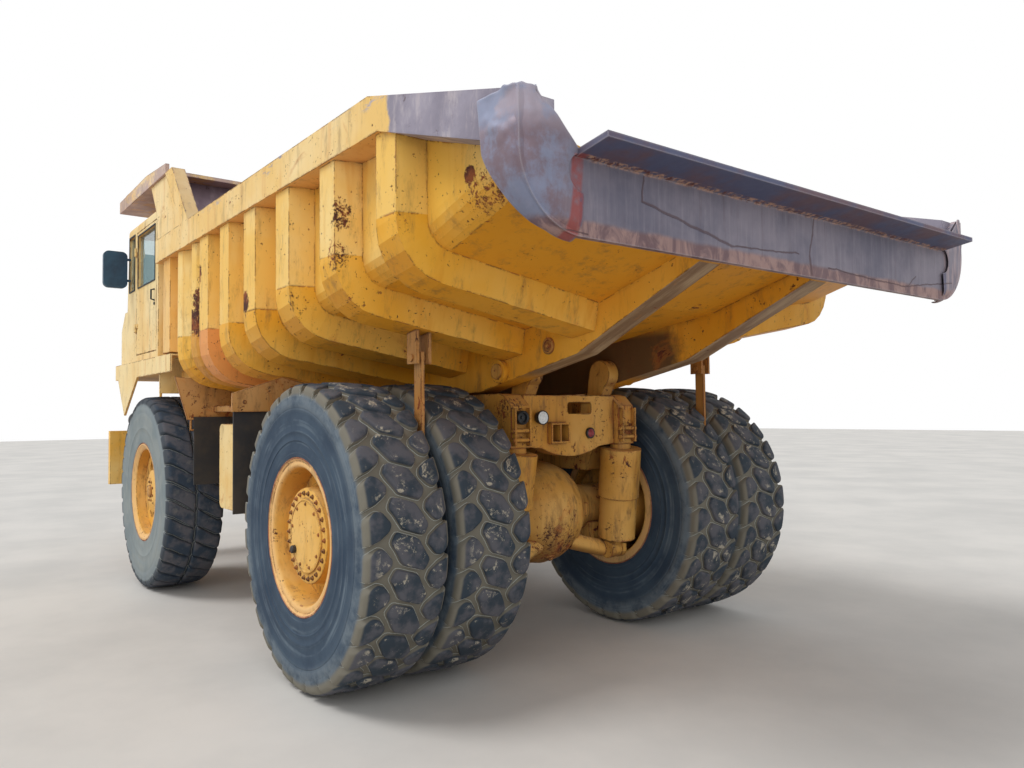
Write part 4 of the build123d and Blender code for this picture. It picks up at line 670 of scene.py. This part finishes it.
def tread_block(outline):
    """One lug, flat, as (vertices of (u, v, share of height), faces)."""
    outline = softened(outline)
    if sum(a[0] * b[1] - b[0] * a[1] for a, b in zip(outline, outline[1:] + outline[:1])) < 0:
        outline = outline[::-1]
    bm = bmesh.new()
    rows = []
    for inwards, share in LUG_RINGS:
        rows.append([bm.verts.new((u, v, share)) for u, v in shifted(outline, inwards)])
    count = len(outline)
    for low, high in zip(rows, rows[1:]):
        for i in range(count):
            bm.faces.new((low[i], low[(i + 1) % count], high[(i + 1) % count], high[i]))
    bm.faces.new(rows[-1])
    for axis, place in LUG_CUTS:
        normal = Vector((1 - axis, axis, 0))
        geometry = bm.verts[:] + bm.edges[:] + bm.faces[:]
        bmesh.ops.bisect_plane(bm, geom=geometry, plane_co=normal * place, plane_no=normal)
    bm.verts.index_update()
    points = [tuple(v.co) for v in bm.verts]
    faces = [[v.index for v in f.verts] for f in bm.faces]
    bm.free()
    return points, faces


def tyre_mesh(name, outlines, count, rings, seed):
    """Carcass by its section, and the lugs bent round it; outlines come with their phase in the pitch."""
    picker = random.Random(seed)
    blocks = [(*tread_block(outline), phase) for outline, phase in outlines]
    section = [tread_place(u, 0.0) for u in CARCASS_PLACES] + rings
    section = [(-y, r) for y, r in reversed(section[1:])] + section
    verts, faces = [], []
    for step in range(CARCASS_STEPS):
        turn = FULL_TURN * step / CARCASS_STEPS
        verts += [(r * math.cos(turn), y, r * math.sin(turn)) for y, r in section]
    size = len(section)
    for step in range(CARCASS_STEPS):
        a, b = step * size, (step + 1) % CARCASS_STEPS * size
        faces += [(a + i, a + i + 1, b + i + 1, b + i) for i in range(size - 1)]
        faces.append((a + size - 1, a, b, b + size - 1))
    pitch = FULL_TURN / count
    for step in range(count):
        for points, block_faces, phase in blocks:
            start = len(verts)
            twist = picker.uniform(-0.0025, 0.0025)
            worn = picker.uniform(0.93, 1.0)
            for u, v, share in points:
                shift = noise.noise(Vector((u * 40, v * 40, step * 3.1 + phase))) * 0.0022
                low, high = tread_place(u + shift, 0.0), top_place(u + shift)
                lift = share if share < 0 else share * worn
                y, r = (a + (b - a) * lift for a, b in zip(low, high))
                turn = (step + phase) * pitch + (v + shift + twist) / PITCH_R
                verts.append((r * math.cos(turn), y, r * math.sin(turn)))
            faces += [[start + i for i in f] for f in block_faces]
    mesh = smooth_mesh(name, verts, faces)
    bm = bmesh.new()
    bm.from_mesh(mesh)
    bmesh.ops.recalc_face_normals(bm, faces=bm.faces[:])
    bm.to_mesh(mesh)
    bm.free()
    mesh.set_sharp_from_angle(angle=math.radians(38))
    return mesh


# Side walls down to the bead and into the rim, as (y, radius)
BEAD_RINGS = [(0.24, 0.51), (0.2395, 0.49), (0.236, 0.463), (0.211, 0.4625), (0.203, 0.4215), (0.16, 0.4215)]
REAR_RINGS = [
    (0.2452, 0.745), (0.2472, 0.742), (0.2472, 0.735), (0.2458, 0.73), (0.2462, 0.7), (0.2455, 0.66),
    (0.2435, 0.62), (0.2455, 0.616), (0.2455, 0.606), (0.243, 0.602), (0.2415, 0.57), (0.2435, 0.566),
    (0.2435, 0.558), (0.24, 0.554), (0.2385, 0.52),
] + BEAD_RINGS
FRONT_RINGS = [
    (0.2452, 0.745), (0.247, 0.74), (0.2462, 0.7), (0.2452, 0.65), (0.2425, 0.61), (0.244, 0.605),
    (0.244, 0.597), (0.241, 0.592), (0.239, 0.54),
] + BEAD_RINGS

# Lugs' outlines as (across, along) the tread
OUTER_BLOCK = [(0.262, -0.036), (0.222, -0.06), (0.181, -0.084), (0.15, -0.072), (0.111, -0.02),
               (0.124, 0.014), (0.181, 0.056), (0.262, 0.086)]
CENTRE_HALF = [(0.104, -0.054), (0.077, -0.099), (-0.04, -0.058)]
CENTRE_BLOCK = CENTRE_HALF + half_turned(CENTRE_HALF)
BAR = [(0.018, 0.112), (0.018, -0.022), (0.09, -0.052), (0.19, -0.116), (0.262, -0.134), (0.262, -0.022),
       (0.19, -0.004), (0.1, 0.052)]
REAR_LUGS = ((OUTER_BLOCK, -0.716), (CENTRE_BLOCK, 0.0), (half_turned(OUTER_BLOCK), 0.716))
FRONT_LUGS = ((BAR, 0.0), (half_turned(BAR), 0.5))
rear_mesh = tyre_mesh("rear_tyre", REAR_LUGS, 30, REAR_RINGS, 3)
front_mesh = tyre_mesh("front_tyre", FRONT_LUGS, 36, FRONT_RINGS, 5)

for side, sign in SIDES:
    turned = (0, 0, 0 if sign > 0 else math.pi)
    body = f"rear_wheels_{side}"
    pieces = []
    for place, y in (("inner", REAR_INNER_Y), ("outer", REAR_OUTER_Y)):
        pieces.append(add_piece(f"rear_tyre_{place}_{side}", rear_mesh, REAR_RUBBER, body,
                                (REAR_AXLE, sign * y, AXLE_Z), turned))
    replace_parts(pieces[0], f"rear_tyres_{side}")
    front = add_piece(f"front_tyre_{side}_tread", front_mesh, FRONT_RUBBER, f"front_wheel_{side}",
                      (FRONT_AXLE, sign * FRONT_Y, AXLE_Z), turned)
    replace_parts(front, f"front_tyre_{side}")


# ---------------------------------------------------------------- small solids gathered into pieces

def ring_faces(rings, sides):
    """Quads between closed rings of vertices that follow each other."""
    faces = []
    for ring in range(rings - 1):
        for side in range(sides):
            a, b = ring * sides + side, ring * sides + (side + 1) % sides
            faces.append((a, b, b + sides, a + sides))
    return faces


def tube_faces(rings, sides):
    """Quads between closed rings, with the first and last ring filled."""
    count = rings * sides
    return ring_faces(rings, sides) + [tuple(reversed(range(sides))), tuple(range(count - sides, count))]


class Bits:
    """Many small solids in one mesh, each with its own material."""

    def __init__(self):
        self.verts, self.faces, self.kinds = [], [], []

    def add(self, verts, faces, kind=0):
        start = len(self.verts)
        self.verts += [tuple(v) for v in verts]
        self.faces += [[start + i for i in face] for face in faces]
        self.kinds += [kind] * len(faces)

    def turned(self, place, axis, rings, sides, kind=0, spin=0.0):
        """Solid of revolution: rings are (height along the axis, radius), sides round it."""
        turn = Vector(axis).to_track_quat("Z", "Y").to_matrix()
        verts = []
        for height, radius in rings:
            for side in range(sides):
                angle = FULL_TURN * side / sides + spin
                spot = Vector((radius * math.cos(angle), radius * math.sin(angle), height))
                verts.append(Vector(place) + turn @ spot)
        self.add(verts, tube_faces(len(rings), sides), kind)

    def bolt(self, place, axis, radius, spin=0.0, stud=False):
        """Washer and chamfered hexagon head, with the stud's end if it is a nut."""
        def shaped(shape, sides, spin=0.0):
            self.turned(place, axis, shape, sides, spin=spin)

        shaped([(-0.002, radius * 1.3), (radius * 0.16, radius * 1.3), (radius * 0.22, radius * 1.2)], 16)
        shaped([(0.0, radius), (radius * 0.75, radius), (radius * 0.95, radius * 0.84)], 6, spin)
        if stud:
            shaped([(0.0, radius * 0.5), (radius * 1.35, radius * 0.5), (radius * 1.5, radius * 0.4)], 10)

    def plate(self, corners, thickness):
        """Flat plate between four corners in order, thickened along their normal."""
        points = [Vector(c) for c in corners]
        normal = (points[1] - points[0]).cross(points[2] - points[0]).normalized() * thickness
        count = len(points)
        faces = [tuple(reversed(range(count))), tuple(range(count, 2 * count))]
        self.add(points + [p + normal for p in points], faces + ring_faces(2, count))

    def tube(self, route, radius, sides=10):
        """Bent pipe along the points of a route."""
        points = [Vector(p) for p in route]
        verts = []
        side = None
        for i, point in enumerate(points):
            along = (points[min(i + 1, len(points) - 1)] - points[max(i - 1, 0)]).normalized()
            if side is None:
                side = along.orthogonal().normalized()
            side = (side - along * side.dot(along)).normalized()
            other = along.cross(side)
            for step in range(sides):
                angle = FULL_TURN * step / sides
                verts.append(point + radius * (math.cos(angle) * side + math.sin(angle) * other))
        self.add(verts, tube_faces(len(points), sides))

    def piece(self, name, materials, body, slot, smooth=35, bevel=0.0):
        mesh = smooth_mesh(name, self.verts, self.faces)
        for material in materials:
            mesh.materials.append(material)
        for polygon, kind in zip(mesh.polygons, self.kinds):
            polygon.material_index = kind
        mesh.set_sharp_from_angle(angle=math.radians(smooth))
        obj = add_piece(name, mesh, materials[0], body)
        if bevel:
            modifier = obj.modifiers.new("edges", "BEVEL")
            modifier.width = bevel
            modifier.segments = 2
            modifier.limit_method = "ANGLE"
        return obj


def ring_places(middle, radius, count, phase=0.0):
    """Places round a wheel's axis, with the angle of each."""
    x, y, z = middle
    for index in range(count):
        angle = FULL_TURN * (index + phase) / count
        yield (x + radius * math.cos(angle), y, z + radius * math.sin(angle)), angle


# ---------------------------------------------------------------- rims with their nuts

REAR_RIM = [  # (distance out from the outer tyre's middle, radius), from its bead to the hub's cover
    (-0.235, 0.462), (-0.205, 0.4205), (0.205, 0.4205), (0.222, 0.44), (0.23, 0.456), (0.2345, 0.4615),
    (0.2365, 0.459), (0.2365, 0.454), (0.233, 0.449), (0.224, 0.438), (0.225, 0.43), (0.227, 0.42),
    (0.224, 0.409), (0.214, 0.4), (0.2, 0.396), (0.11, 0.395), (0.062, 0.395), (0.055, 0.392),
    (0.0525, 0.385), (0.052, 0.315), (0.054, 0.311), (0.06, 0.3098), (0.086, 0.309), (0.092, 0.306),
    (0.094, 0.296), (0.098, 0.286), (0.105, 0.282), (0.17, 0.279), (0.178, 0.2765), (0.181, 0.271),
    (0.1812, 0.223), (0.183, 0.219), (0.19, 0.217), (0.1925, 0.213), (0.193, 0.205), (0.19, 0.202),
    (0.189, 0.15), (0.1905, 0.07), (0.191, 0.0001),
]
INNER_RIM = [
    (-0.235, 0.395), (-0.2365, 0.44), (-0.2365, 0.459), (-0.2345, 0.4615), (-0.23, 0.456), (-0.205, 0.4205),
    (0.205, 0.4205), (0.235, 0.461), (0.236, 0.458), (0.235, 0.44), (0.33, 0.44),
]
RIM_CORE = [(-0.235, 0.395), (0.528, 0.395), (0.528, 0.3), (0.228, 0.3), (0.228, 0.121)]
RIM_STEPS = 96
VALVE_R, VALVE_TURNS = 0.405, (-1.63, -1.6, -1.57, -1.54)
HUB_PLUG = [(0.0, 0.024), (0.02, 0.024), (0.026, 0.018)]
HUB_CAP = [(0.0, 0.06), (0.012, 0.06), (0.02, 0.05), (0.024, 0.03)]
# Each ring's distance out, radius, count and phase, then its heads' radius, spin and whether studs show
REAR_NUT_RINGS = ((1.7192, 0.248, 26, 0.0, 0.0115, 1.7, True), (1.727, 0.186, 9, 0.3, 0.0085, 1.0, False))
FRONT_NUT_RINGS = ((1.6165, 0.24, 20, 0.0, 0.013, 1.3, True), (1.7, 0.092, 8, 0.5, 0.01, 1.0, False))


def lathe(bits, middle, sign, profile):
    """Surface of revolution about a wheel's axis."""
    verts = []
    for y, radius in profile:
        for place, _ in ring_places((middle[0], middle[1] + sign * y, middle[2]), radius, RIM_STEPS):
            verts.append(place)
    faces = ring_faces(len(profile), RIM_STEPS)
    bits.add(verts, faces if sign < 0 else [face[::-1] for face in faces])


def about_axle(axle_x, sign, y, x_off=0.0, z_off=0.0):
    """Place beside the axle, y out from the truck's middle plane."""
    return (axle_x + x_off, sign * y, AXLE_Z + z_off)


def nut_rings(bits, axle_x, sign, rings):
    for y, radius, count, phase, head, spin, stud in rings:
        for place, angle in ring_places(about_axle(axle_x, sign, y), radius, count, phase):
            bits.bolt(place, (0, sign, 0), head, angle * spin, stud)


for side, sign in SIDES:
    body = f"rear_wheels_{side}"
    rim = Bits()
    lathe(rim, about_axle(REAR_AXLE, sign, REAR_OUTER_Y), sign, REAR_RIM)
    lathe(rim, about_axle(REAR_AXLE, sign, REAR_INNER_Y), sign, INNER_RIM)
    lathe(rim, about_axle(REAR_AXLE, sign, REAR_INNER_Y), sign, RIM_CORE)
    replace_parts(rim.piece(f"rear_rim_pair_{side}", [RIM], body, "rim_paint"), f"rear_rims_{side}")
    nuts = Bits()
    out = (0, sign, 0)
    nut_rings(nuts, REAR_AXLE, sign, REAR_NUT_RINGS)
    nuts.turned(about_axle(REAR_AXLE, sign, 1.726, 0.15, -0.095), out, HUB_PLUG, 8, 1)
    nuts.tube([about_axle(REAR_AXLE, sign, 1.748, VALVE_R * math.cos(a), VALVE_R * math.sin(a))
               for a in VALVE_TURNS], 0.008)
    nuts.piece(f"rear_nuts_{side}", [NUT, IRON], body, "worn_steel")

    studs = Bits()
    nut_rings(studs, FRONT_AXLE, sign, FRONT_NUT_RINGS)
    studs.turned(about_axle(FRONT_AXLE, sign, 1.699), out, HUB_CAP, 32)
    studs.piece(f"front_nuts_{side}", [NUT], f"front_wheel_{side}", "worn_steel")


# ---------------------------------------------------------------- crumpled wrap round the tail's corners

def circle_through(a, b, c):
    """Centre and radius of the circle through three flat places."""
    d = 2 * (a[0] * (b[1] - c[1]) + b[0] * (c[1] - a[1]) + c[0] * (a[1] - b[1]))
    u, v, w = (p[0] ** 2 + p[1] ** 2 for p in (a, b, c))
    x = (u * (b[1] - c[1]) + v * (c[1] - a[1]) + w * (a[1] - b[1])) / d
    y = (u * (c[0] - b[0]) + v * (a[0] - c[0]) + w * (b[0] - a[0])) / d
    return (x, y), math.dist((x, y), a)


BAND_FOOT, BAND_BEND, BAND_SIDE = (1.54, 2.285), (1.755, 2.385), (1.84, 2.6)
WRAP_RISE = 0.222  # how far the wrap rises above the end of the band's corner
WRAP_PROUD = 0.011
WRAP_ROUND = 0.08
WRAP_REAR = ahead(-2.18) - WRAP_PROUD
WRAP_COLUMNS = 30
WRAP_HALF_ROWS = 17
ROUND_FROM, ROUND_SHARE = 0.34, 0.28  # where the rounding starts along a row, and its share of the row
FACE_FROM, FACE_SHARE = 0.62, 0.38


def wrap_outline():
    """Outline of the band's corner seen from behind, as (y, z, normal y, normal z), from its foot upwards."""
    (cy, cz), radius = circle_through(BAND_FOOT, BAND_BEND, BAND_SIDE)
    first = math.atan2(BAND_FOOT[1] - cz, BAND_FOOT[0] - cy)
    last = math.atan2(BAND_SIDE[1] - cz, BAND_SIDE[0] - cy)
    places = []
    for step in range(WRAP_HALF_ROWS):
        turn = first + (last - first) * step / WRAP_HALF_ROWS
        ny, nz = math.cos(turn), math.sin(turn)
        places.append((cy + radius * ny, cz + radius * nz, ny, nz))
    for step in range(WRAP_HALF_ROWS):
        places.append((BAND_SIDE[0], BAND_SIDE[1] + WRAP_RISE * step / (WRAP_HALF_ROWS - 1), 1.0, 0.0))
    return places


def wrap_ends(z):
    """X where the sheet starts on the side, and how far it reaches onto the band's face, at a height."""
    if z < BAND_SIDE[1]:
        return ahead(-2.138) + 0.5477 * (z - 2.275), 0.1 + 0.11 * max(0.0, (z - 2.3) / 0.3)
    inner = 1.545 if z < 2.63 else 1.545 + (z - 2.63) * 1.16
    reach = BAND_SIDE[0] - WRAP_ROUND - inner
    return ahead(-1.962) + 0.12 * (z - BAND_SIDE[1]), max(0.015, min(reach, 0.225))


def wrap_mesh(name, sign, crumple, seed):
    """Sheet round the tail's corner: along the rail's side, round the corner and onto the band's face."""
    places = wrap_outline()
    bend_x = WRAP_REAR + WRAP_ROUND
    verts = []
    for row, (y, z, ny, nz) in enumerate(places):
        front, reach = wrap_ends(z)
        for column in range(WRAP_COLUMNS + 1):
            t = column / WRAP_COLUMNS
            if t < ROUND_FROM:
                x, inward = front + (bend_x - front) * (t / ROUND_FROM), 0.0
            elif t < FACE_FROM:
                turn = (t - ROUND_FROM) / ROUND_SHARE * math.pi / 2
                x, inward = bend_x - WRAP_ROUND * math.sin(turn), WRAP_ROUND * (1 - math.cos(turn))
            else:
                x, inward = WRAP_REAR, WRAP_ROUND + reach * (t - FACE_FROM) / FACE_SHARE
            point = Vector((x, y + ny * (WRAP_PROUD - inward), z + nz * (WRAP_PROUD - inward)))
            # Dents grow towards the top, and fade out where the sheet meets the rail and the band
            edge = min(1.0, t / 0.1, (1 - t) / 0.12 + 0.25)
            strength = edge * (0.25 + 0.75 * max(0.0, min(1.0, (z - 2.45) / 0.25))) * crumple
            probe = point * 9.0 + Vector((seed, seed * 2.0, 0))
            dent = noise.noise(probe) * 0.02 + abs(noise.noise(probe * 2.3)) * 0.014 - 0.004
            push = max(-0.006, dent + noise.noise(point * 31.0) * 0.003) * strength
            facing = max(0.0, min(1.0, (t - ROUND_FROM) / ROUND_SHARE)) * math.pi / 2
            point += Vector((-math.sin(facing), math.cos(facing) * ny, math.cos(facing) * nz)) * push
            if row >= len(places) - 3 and t > 0.3:
                torn = noise.noise(Vector((t * 23.0, seed, 0))) * 0.022
                point.z += (torn + noise.noise(Vector((t * 61.0, seed, 3))) * 0.012) * crumple
            verts.append((point.x, sign * point.y, point.z))
    width = WRAP_COLUMNS + 1
    faces = []
    for row in range(len(places) - 1):
        for column in range(WRAP_COLUMNS):
            a = row * width + column
            face = (a, a + 1, a + 1 + width, a + width)
            faces.append(face[::-1] if sign > 0 else face)
    return smooth_mesh(name, verts, faces)


for side, sign, crumple, seed in (("left", 1, 1.0, 4.0), ("right", -1, 0.55, 9.0)):
    wrap = wrap_mesh(f"tail_wrap_{side}", sign, crumple, seed)
    wrap = add_piece(f"tail_wrap_{side}", wrap, BAND, "bed")
    thick = wrap.modifiers.new("sheet", "SOLIDIFY")
    thick.thickness = 0.007
    thick.offset = -1.0
    smooth = wrap.modifiers.new("smooth", "SUBSURF")
    smooth.levels = smooth.render_levels = 1


# ---------------------------------------------------------------- lamps

LAMP_SIDES = 40
LENS_RINGS = 9
HEADLAMP_R = 0.095
REAR_LAMP_R = 0.047


def lamp_shell(bits, place, axis, radius, depth):
    """Bowl and bezel of a lamp that looks along its axis; the bezel's rim lies at the place."""
    bowl = [(-depth, radius * 0.55), (-depth * 0.8, radius * 0.78), (-depth * 0.4, radius * 0.93)]
    bezel = [(-0.01, radius * 0.97), (-0.008, radius), (0.0, radius), (0.003, radius * 0.97),
             (0.0, radius * 0.9), (-0.012, radius * 0.86)]
    bits.turned(place, axis, bowl + bezel, LAMP_SIDES)


def lamp_lens(bits, place, axis, radius):
    """Domed and ribbed lens."""
    rings = [(-0.011, radius * 0.87), (-0.002, radius * 0.86)]
    for step in range(LENS_RINGS):
        share = 1 - step / LENS_RINGS
        rib = 0.0012 if step % 2 else 0.0
        rings.append((0.008 * (1 - share ** 2) + rib, radius * 0.84 * share + 0.001))
    bits.turned(place, axis, rings, LAMP_SIDES)


FORWARD, BACKWARD, UPWARD = (1, 0, 0), (-1, 0, 0), (0, 0, 1)
POST = [(0.0, 0.04), (0.012, 0.04), (0.014, 0.03), (0.06, 0.026)]
ALARM = [(0.0, 0.044), (0.03, 0.046), (0.04, 0.044), (0.044, 0.038), (0.04, 0.03), (0.024, 0.026),
         (0.022, 0.012), (0.03, 0.008)]
STOP_LAMP = [(0.0, 0.038), (0.014, 0.038), (0.018, 0.034), (0.016, 0.03)]
shells, lenses, red = Bits(), Bits(), Bits()
for y in (1.4, -1.4):
    headlamp = (ahead(5.545), y, 1.57)
    shells.turned((ahead(5.5), y, 1.4505), UPWARD, POST, 24)
    lamp_shell(shells, headlamp, FORWARD, HEADLAMP_R, 0.085)
    lamp_lens(lenses, headlamp, FORWARD, HEADLAMP_R)
rear_lamp = (ahead(-0.468), 0.294, 1.573)
lamp_shell(shells, rear_lamp, BACKWARD, REAR_LAMP_R, 0.056)
lamp_lens(lenses, rear_lamp, BACKWARD, REAR_LAMP_R)
shells.turned((ahead(-0.4605), 0.484, 1.575), BACKWARD, ALARM, 32)
shells.turned((ahead(-0.4105), -0.172, 1.462), BACKWARD, STOP_LAMP, 32)
lamp_lens(red, (ahead(-0.4255), -0.172, 1.462), BACKWARD, 0.034)
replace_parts(shells.piece("lamp_shells", [PLASTIC], "chassis", "black_plastic"), "lamps")
lenses.piece("lamp_lenses", [LENS], "chassis", "lamp_plastic", smooth=20)
red.piece("stop_lens", [RED_LENS], "chassis", "lamp_plastic", smooth=20)


# ---------------------------------------------------------------- seat

CUSHION_ROUND = 0.045
CHANNELS = (-0.5, 0.0, 0.5)
CHANNEL_DEPTH, CHANNEL_WIDTH = 0.01, 0.06
WELT_PROUD, WELT_WIDTH, WELT_AT = 0.006, 0.09, 0.62


def cushion(name, low, high, axis, crown):
    """Closed form, crowned along an axis, with rounded sides, a welt and sewn channels across its face."""
    bm = bmesh.new()
    bmesh.ops.create_cube(bm, size=2.0)
    bmesh.ops.subdivide_edges(bm, edges=bm.edges[:], cuts=15, use_grid_fill=True)
    middle = (Vector(low) + Vector(high)) / 2
    half = (Vector(high) - Vector(low)) / 2
    others = [i for i in range(3) if i != axis]
    for v in bm.verts:
        p = Vector(v.co[i] * half[i] for i in range(3))
        core = Vector(max(CUSHION_ROUND - half[i], min(half[i] - CUSHION_ROUND, p[i])) for i in range(3))
        away = p - core
        if away.length > 0:
            p = core + away.normalized() * CUSHION_ROUND
        a, b = (p[i] / half[i] for i in others)
        if v.co[axis] > 0:
            p[axis] += crown * (1 - a * a) * (1 - b * b)
            for place in CHANNELS:
                p[axis] -= CHANNEL_DEPTH * math.exp(-((b - place) / CHANNEL_WIDTH) ** 2) * (1 - a ** 6)
        if max(abs(a), abs(b)) > 0.93 and abs(abs(p[axis] / half[axis]) - WELT_AT) < WELT_WIDTH:
            p += Vector(WELT_PROUD * p[i] / half[i] if i != axis else 0 for i in range(3))
        v.co = p + middle
    mesh = bpy.data.meshes.new(name)
    bm.to_mesh(mesh)
    bm.free()
    for polygon in mesh.polygons:
        polygon.use_smooth = True
    return mesh


pedestal = Bits()
SEAT_X, SEAT_Y = ahead(3.535), 1.27
BELLOWS = [(0.0, 0.118), (0.006, 0.13), (0.03, 0.13), (0.04, 0.118)]


def seat_plate(z, half_x, half_y, thick):
    corners = [(SEAT_X + x * half_x, SEAT_Y + y * half_y, z) for x, y in ((-1, -1), (1, -1), (1, 1), (-1, 1))]
    pedestal.plate(corners, thick)


seat_plate(2.181, 0.16, 0.17, 0.014)
for step in range(5):
    pedestal.turned((SEAT_X, SEAT_Y, 2.195 + 0.04 * step), UPWARD, BELLOWS, 32)
seat_plate(2.395, 0.2, 0.2, 0.02)
for y in (SEAT_Y - 0.16, SEAT_Y + 0.16):
    route = ((SEAT_X - 0.15, 2.425), (SEAT_X - 0.24, 2.47), (ahead(3.262), 2.58), (ahead(3.258), 2.86))
    pedestal.tube([(x, y, z) for x, z in route], 0.014)
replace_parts(pedestal.piece("seat_pedestal", [PLASTIC], "chassis", "seat_cloth", bevel=0.004), "driver_seat")
for name, low, high, axis, crown in (
        ("seat_squab", (ahead(3.325), 1.05, 2.42), (ahead(3.755), 1.49, 2.59), 2, 0.03),
        ("seat_back", (ahead(3.215), 1.055, 2.6), (ahead(3.315), 1.485, 3.05), 0, 0.022)):
    soft = add_piece(name, cushion(name, low, high, axis, crown), CLOTH, "chassis")


# ---------------------------------------------------------------- small hardware

# Bosses with a bolt on the bed's rails, each side
BOSS = [(-0.001, 0.05), (0.01, 0.05), (0.013, 0.046), (0.013, 0.036), (0.006, 0.032)]
bosses = Bits()
for x, z in ((-1.969, 1.89), (-2.487, 2.001)):
    for sign in (1, -1):
        bosses.turned((x, sign * 0.5632, z), (0, sign, 0), BOSS, 32)
        bosses.bolt((x, sign * 0.568, z), (0, sign, 0), 0.017)
bosses.piece("rail_bosses", [NUT], "bed", "orange_paint")

# Filler and drain plugs on the axle's dome
plugs = Bits()
for place in ((-1.98, 0.069, 0.811), (-1.84, 0.023, 0.603)):
    axis = Vector((place[0] - REAR_AXLE, place[1], place[2] - AXLE_Z)).normalized()
    plugs.turned(Vector(place) - axis * 0.01, axis, [(0.0, 0.034), (0.016, 0.034), (0.019, 0.03)], 28)
    plugs.bolt(Vector(place) + axis * 0.008, axis, 0.017)
plugs.piece("axle_plugs", [NUT], "chassis", "frame_paint")

GASKET_THICK = 0.006
SILL = 2.85
CAB_OUTSIDE, CAB_INSIDE = 1.7905, 0.7495
WINDOW_TOP = 3.38
HANDLE_X = ahead(3.185)


def frame_round(bits, y, low, high, width, sign=1):
    """Rubber section round a window in a side wall; low and high are (x, z)."""
    (x0, z0), (x1, z1) = low, high
    for a, b, c, d in ((x0 - width, z0 - width, x1 + width, z0), (x0 - width, z1, x1 + width, z1 + width),
                       (x0 - width, z0, x0, z1), (x1, z0, x1 + width, z1)):
        corners = [(a, y, b), (a, y, d), (c, y, d), (c, y, b)]
        bits.plate(corners if sign > 0 else corners[::-1], GASKET_THICK)


gasket = Bits()
frame_round(gasket, CAB_OUTSIDE, (ahead(3.93), SILL), (ahead(4.14), WINDOW_TOP), 0.014)
frame_round(gasket, CAB_INSIDE, (ahead(3.18), SILL), (ahead(4.09), WINDOW_TOP), 0.014, -1)
gasket.piece("window_gaskets", [GASKET], "chassis", "black_plastic", bevel=0.002)
door_trim = Bits()
frame_round(door_trim, CAB_OUTSIDE, (ahead(3.17), SILL), (ahead(3.79), 3.345), 0.012)
handle = ((1.79, 2.66), (1.82, 2.668), (1.82, 2.752), (1.79, 2.76))
door_trim.tube([(HANDLE_X, y, z) for y, z in handle], 0.008)
door_trim.turned((HANDLE_X, 1.79, 2.63), (0, 1, 0), [(0.0, 0.014), (0.006, 0.014), (0.008, 0.011)], 20)
door_trim.piece("door_trim", [GASKET], "door", "black_plastic", bevel=0.002)

# Bolt heads on the hangers
bolts = Bits()
for sign in (1, -1):
    for y, z in ((0.93, 1.68), (1.06, 1.7), (1.38, 1.8), (1.5, 1.7), (1.72, 1.7), (1.3, 1.68)):
        bolts.bolt((ahead(1.0398), sign * y, z), BACKWARD, 0.011, y * 9)
bolts.piece("hanger_bolts", [NUT], "chassis", "frame_paint")
